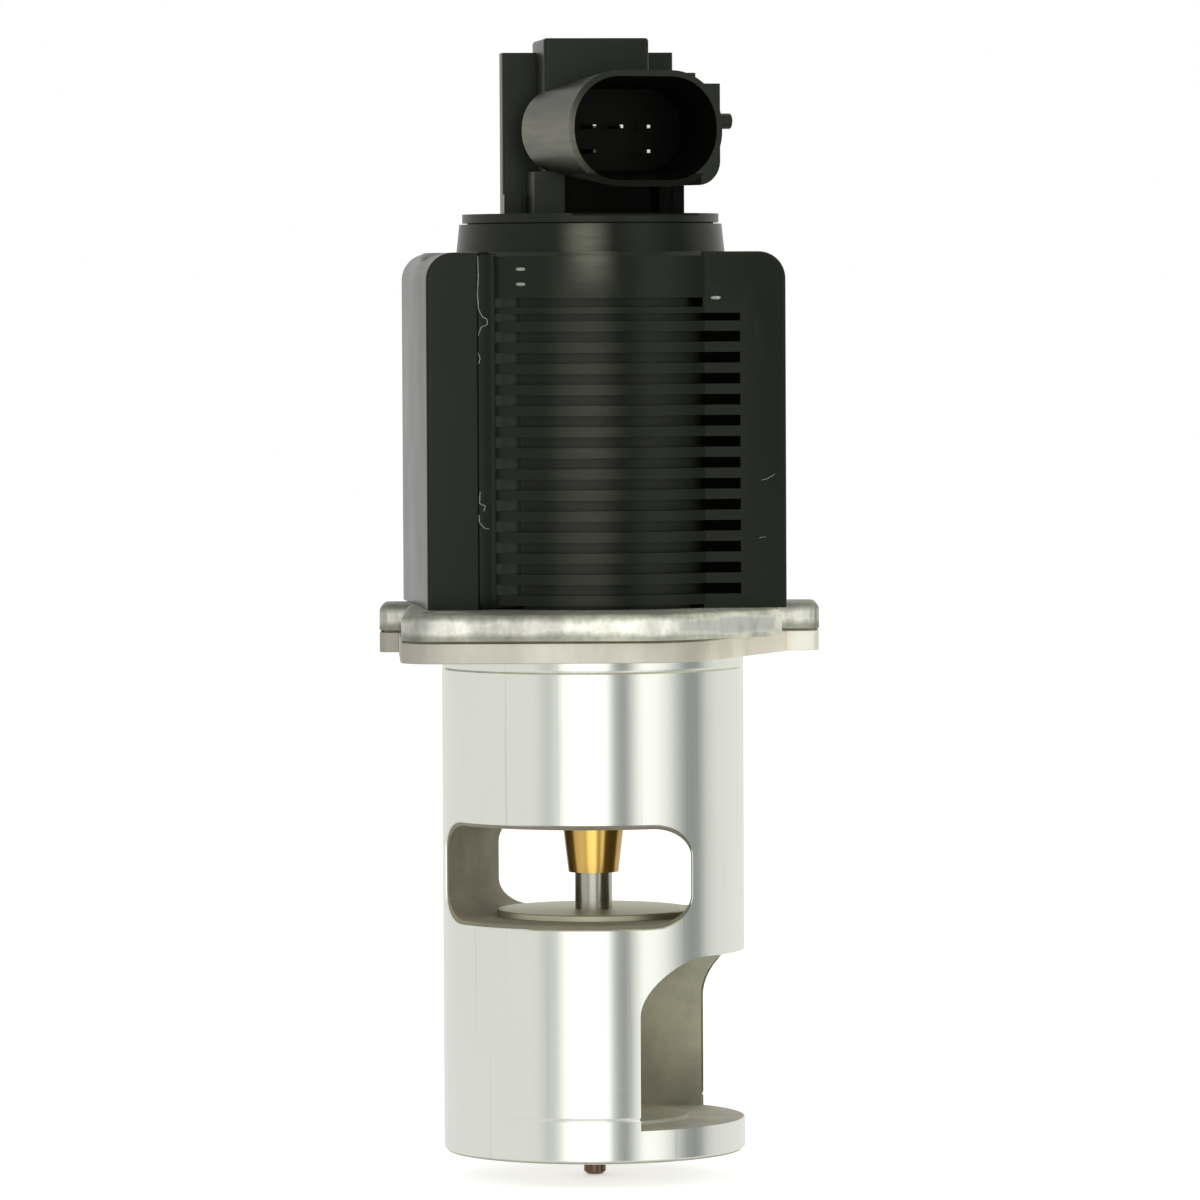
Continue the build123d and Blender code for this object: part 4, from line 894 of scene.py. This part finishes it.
class EGR_OT_body(bpy.types.Operator):
    """Turned aluminium body with its milled window and port, and the plug and bushes pressed into it"""

    bl_idname = "egr_valve.body"
    bl_label = "Valve body"

    def execute(self, context):
        look = context.scene.egr_finish
        aluminium = machined_body("turned_aluminium", look.aluminium, 0.15, look.milled, look.browned)
        dress("turned_body", "valve_body", aluminium, BODY_RADII)
        milled = plain_metal("milled_aluminium", shade(look.milled, 0.75), 0.5)
        dress("turned_plug", "bottom_plug", milled, PLUG_RADII)
        brass = turned_metal("turned_brass", look.brass, 0.2, bands=BRASS_PAINTED_LIGHT)
        dress("brass_bush", "stem_guide_bush", brass, BUSH_RADII, TIGHT_SLACK)
        paint_node("lower_guide_bush", turned_metal("bronze", (0.42, 0.3, 0.15), 0.3))
        paint_node("valve_seat_ring", turned_metal("seat_steel", (0.4, 0.39, 0.35), 0.25))
        paint_node("stem_seal", soft_rubber("seal_rubber", (0.02, 0.02, 0.02)))
        paint_node("seal_retainer", plain_metal("retainer_steel", (0.45, 0.45, 0.44), 0.35))
        return {"FINISHED"}


class EGR_OT_train(bpy.types.Operator):
    """Stem and head of the valve, and the armature that lifts them"""

    bl_idname = "egr_valve.train"
    bl_label = "Valve train"

    def execute(self, context):
        look = context.scene.egr_finish
        stem = turned_metal("ground_stem", look.stem, 0.2, brown_tip=True)
        dress("ground_stem", "valve_stem", stem, STEM_RADII, TIGHT_SLACK)
        head = turned_metal("turned_head", look.head, 0.45)
        dress("turned_head", "poppet_head", head, HEAD_RADII, TIGHT_SLACK)
        iron = plain_metal("soft_iron", (0.42, 0.42, 0.41), 0.34)
        paint_node("armature", iron)
        paint_node("armature_clip", iron)
        return {"FINISHED"}


class EGR_OT_flange(bpy.types.Operator):
    """The two flange plates, the joint between them and their screws"""

    bl_idname = "egr_valve.flange"
    bl_label = "Flange plates"

    def execute(self, context):
        look = context.scene.egr_finish
        low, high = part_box("mounting_plate")
        zinc = sheared_plate("zinc_plate", look.upper_plate, low[2], high[2])
        dress("punched_plate", "mounting_plate", zinc)
        brushed = brushed_plate("brushed_plate", look.lower_plate)
        dress("seating_plate", "lower_plate", brushed, edge=look.plate_edge)
        paint_node("flange_gasket", soft_rubber("gasket_sheet", look.gasket))
        paint_node("plate_screws", plain_metal("screw_steel", (0.5, 0.5, 0.47), 0.3))
        return {"FINISHED"}


class EGR_OT_housing(bpy.types.Operator):
    """Black finned moulding round the coil, with softened edges, burrs and pips"""

    bl_idname = "egr_valve.housing"
    bl_label = "Coil housing"

    def execute(self, context):
        look = context.scene.egr_finish
        # painted highlights on the collar and fins, painted shade in the slots at front right
        patches = ((COLLAR_HIGHLIGHT, look.rubbed_and_highlight), (FINS_HIGHLIGHT, shade(look.rubbed_and_highlight, FINS_HIGHLIGHT_SHARE)))
        black = moulded_plastic("black_moulding", look.housing, 0.26, 0.26, patches, SLOTS_RECESS)
        dress("finned_moulding", "coil_housing", black, edge=look.moulded_edge)
        put("corner_skin", self.corner_skin(), "coil_housing", black)
        # pale burrs and pips: partly whitened flash, partly a painted highlight for their glints
        whitened_and_glint = moulded_plastic("whitened_glint_burr", look.burr, 0.25, 0.5)
        for index, (reach, place, spots) in enumerate(BURRS):
            path = np.array([place(*spot) for spot in spots])
            put("moulding_burr_%d" % (index + 1), self.burr(path, reach), "coil_housing", whitened_and_glint)
        for index, (middle, turned_by) in enumerate(PIPS):
            put("moulding_pip_%d" % (index + 1), self.pip(middle, turned_by), "coil_housing", whitened_and_glint)
        return {"FINISHED"}

    def corner_skin(self):
        """Skin of plastic in the corner between the left ear and the fins, where the grooves run out.

        Its section follows a path from the ear round onto the fins: a point at share s(u) = (1 - cos u) / 2
        of the path is set off across it by thickness * (e(w) sin(u)^(1/2) - 1). The edge on the fins wavers
        along the height as a sum of sines, and both ends close to a line: e(w) = (1 - |2 w - 1|^40)^(1/2).
        """
        w = 0.5 - 0.5 * np.cos(np.linspace(0.0, pi, 300))
        u = np.linspace(0.0, 2.0 * pi, 48, endpoint=False)
        w, u = np.meshgrid(w, u, indexing="ij")
        waver = 0.05 * np.sin(2 * pi * (17 * w + 0.4 * np.sin(2 * pi * 5 * w)))
        waver += 0.03 * np.sin(2 * pi * 41 * w)
        close = np.sqrt(np.clip(1.0 - np.abs(2.0 * w - 1.0) ** 40, 0.0, 1.0))
        fine = np.linspace(0.0, 1.0, len(SKIN_LINE))
        run = unit(np.gradient(SKIN_LINE, axis=0))
        share = 0.5 * (1.0 - np.cos(u)) * (0.97 + 0.4 * waver)
        across = close * rooted(np.sin(u), 0.5) * SKIN_THICK - SKIN_THICK
        x = np.interp(share, fine, SKIN_LINE[:, 0]) + across * np.interp(share, fine, run[:, 1])
        y = np.interp(share, fine, SKIN_LINE[:, 1]) - across * np.interp(share, fine, run[:, 0])
        z = SKIN_LOW + (SKIN_HIGH - SKIN_LOW) * w
        return grid_mesh("corner_skin", np.stack((x, y, z), axis=-1), wrap_columns=True)

    def burr(self, path, reach):
        """Thin ridge of squeezed-out plastic along a bent path.

        The path is laid through its points by straight runs, rounded by a running mean. Round it lies a
        circle whose radius wavers a little and falls to nothing at both ends, as
        r(t) = reach * (1 - (2 t - 1)^6)^(1/2).
        """
        t = np.linspace(0.0, 1.0, 90)
        line = even_line(path, len(t), 2)
        along = unit(np.gradient(line, axis=0))
        first = unit(np.cross(along, (0.0, -1.0, 0.0)))
        second = np.cross(along, first)
        r = reach * np.sqrt(np.clip(1.0 - (2.0 * t - 1.0) ** 6, 0.0, 1.0))
        r *= 0.8 + 0.2 * np.sin(47.0 * t) * np.sin(19.0 * t + 1.0)
        angle = np.linspace(0.0, 2.0 * pi, 8, endpoint=False)
        ring = np.cos(angle)[None, :, None] * first[:, None] + np.sin(angle)[None, :, None] * second[:, None]
        return grid_mesh("burr", line[:, None] + r[:, None, None] * ring, wrap_columns=True)

    def pip(self, middle, turned_by):
        """Flat oval pip, turned about the valve axis.

        It is a superellipsoid: across c(v) c(u), out c(v) s(u) and up s(v), each times its half size, where
        c and s are the cosine and sine to the power 0.8 with their sign kept.
        """
        u, v = np.meshgrid(np.linspace(0.0, 2.0 * pi, 24, endpoint=False), np.linspace(-pi / 2, pi / 2, 13))
        flat = rooted(np.cos(v), PIP_POWER)
        across = PIP_ACROSS * flat * rooted(np.cos(u), PIP_POWER)
        out = PIP_OUT * flat * rooted(np.sin(u), PIP_POWER)
        x = middle[0] + across * cos(turned_by) - out * sin(turned_by)
        y = middle[1] + across * sin(turned_by) + out * cos(turned_by)
        z = middle[2] + PIP_UP * rooted(np.sin(v), PIP_POWER)
        return grid_mesh("pip", np.stack((x, y, z), axis=-1), wrap_columns=True)


class EGR_OT_cap(bpy.types.Operator):
    """Black sensor cap with its connector shell, latch frame and contact pins"""

    bl_idname = "egr_valve.cap"
    bl_label = "Sensor cap"

    def execute(self, context):
        look = context.scene.egr_finish
        # painted highlight on the connector's flank, painted shade in the space under the connector
        black = moulded_plastic("black_cap", look.cap, 0.32, 0.3, ((SHELL_HIGHLIGHT, look.rubbed_and_highlight),), CAP_RECESS)
        mesh = dress("moulded_cap", "sensor_cap", black, edge=look.moulded_edge)
        # painted shade: darker, duller black inside the connector's mouth
        mesh.materials.append(moulded_plastic("socket_painted_shade", look.socket, 0.55, 0.12))
        self.paint_socket(mesh)
        tin = plain_metal("tin_plating", look.contact, 0.25, DARK_CONTACT_CORNER)
        dress("contact_pins", "connector_pins", tin, edge=CONTACT_EDGE)
        return {"FINISHED"}

    def paint_socket(self, mesh):
        """Second material on the faces inside the connector's mouth: a darker black that stands for painted
        shade.

        With u across, v up and d back from the mouth's middle, a wall is inside when its normal points to
        the mouth's axis, n . (u, v) < 0, and the floor when it faces out of the mouth and lies deep enough.
        """
        mount = next(entry for entry in frame["record"]["mounts"] if entry["name"] == "connector")
        out = np.array(mount["axis"])
        across = np.array((-out[1], out[0], 0.0))
        centres = read_rows(mesh.polygons, "center") - np.array(mount["pos_m"])
        normals = read_rows(mesh.polygons, "normal")
        u, v, d = centres @ across, centres[:, 2], -centres @ out
        inward = (normals @ across) * u + normals[:, 2] * v < 0.0
        floor = (normals @ out > 0.9) & (d > MOUTH_FLOOR)
        near = (d > MOUTH_NEAR) & (d < MOUTH_FAR)
        near &= (np.abs(u) < MOUTH_HALF_WIDTH) & (np.abs(v) < MOUTH_HALF_HEIGHT)
        mesh.polygons.foreach_set("material_index", (near & (inward | floor)).astype(np.int32))


class EGR_OT_inner(bpy.types.Operator):
    """Finishes of the pieces inside: coil, pole, springs and lift sensor"""

    bl_idname = "egr_valve.inner"
    bl_label = "Inner pieces"

    def execute(self, context):
        steel = plain_metal("frame_steel", (0.5, 0.5, 0.49), 0.32)
        wire = plain_metal("spring_wire", (0.38, 0.38, 0.38), 0.25)
        grey = moulded_plastic("bobbin_plastic", (0.05, 0.05, 0.05), 0.5, 0.4)
        finishes = {
            "yoke_frame": steel,
            "armature_sleeve": steel,
            "pole_piece": steel,
            "sensor_wiper": wire,
            "coil_bobbin": grey,
            "sensor_base": grey,
            "coil_winding": wound_wire("enamelled_wire", (0.5, 0.2, 0.07), 0.00045),
            "coil_terminals": plain_metal("tin_strip", (0.7, 0.7, 0.67), 0.3),
            "base_seal": soft_rubber("cap_seal_rubber", (0.02, 0.02, 0.02)),
            "sensor_plunger": moulded_plastic("white_plastic", (0.72, 0.71, 0.66), 0.4, 0.5),
            "sensor_board": moulded_plastic("printed_ceramic", (0.66, 0.66, 0.6), 0.5, 0.5),
        }
        for node, material in finishes.items():
            paint_node(node, material)
        self.pressed("valve_spring", "return_spring", "valve_train", wire)
        self.pressed("slider_spring", "sensor_spring", "sensor_slider", wire)
        return {"FINISHED"}

    def pressed(self, name, node, moving, material):
        """Spring as a smooth-shaded copy of a CAD node in its place, on no body, with the node hidden."""
        piece = placed(name, joined_mesh(node, name), material)
        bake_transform(piece)
        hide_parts(node)


class EGR_PT_panel(bpy.types.Panel):
    """Lists the steps and the settings in the sidebar"""

    bl_idname = "EGR_PT_panel"
    bl_label = "EGR valve"
    bl_space_type = "VIEW_3D"
    bl_region_type = "UI"
    bl_category = "EGR valve"

    def draw(self, context):
        for step in STEPS:
            self.layout.operator(step.bl_idname)
        for group in (context.scene.egr_stage, context.scene.egr_finish):
            box = self.layout.box()
            for name in group.__annotations__:
                box.prop(group, name)


STEPS = (EGR_OT_stage, EGR_OT_body, EGR_OT_train, EGR_OT_flange, EGR_OT_housing, EGR_OT_cap, EGR_OT_inner)
CLASSES = (EgrStageSettings, EgrFinishSettings, *STEPS, EGR_PT_panel)


def register():
    """Registers the classes and hangs the settings on the scene."""
    for item in CLASSES:
        bpy.utils.register_class(item)
    bpy.types.Scene.egr_stage = bpy.props.PointerProperty(type=EgrStageSettings)
    bpy.types.Scene.egr_finish = bpy.props.PointerProperty(type=EgrFinishSettings)


def unregister():
    """Takes the settings and the classes away again."""
    del bpy.types.Scene.egr_finish
    del bpy.types.Scene.egr_stage
    for item in reversed(CLASSES):
        bpy.utils.unregister_class(item)


def main():
    register()
    for step in STEPS:
        group, name = step.bl_idname.split(".")
        if getattr(getattr(bpy.ops, group), name)() != {"FINISHED"}:
            raise RuntimeError(step.bl_label + " was not finished")


if __name__ == "__main__":
    main()
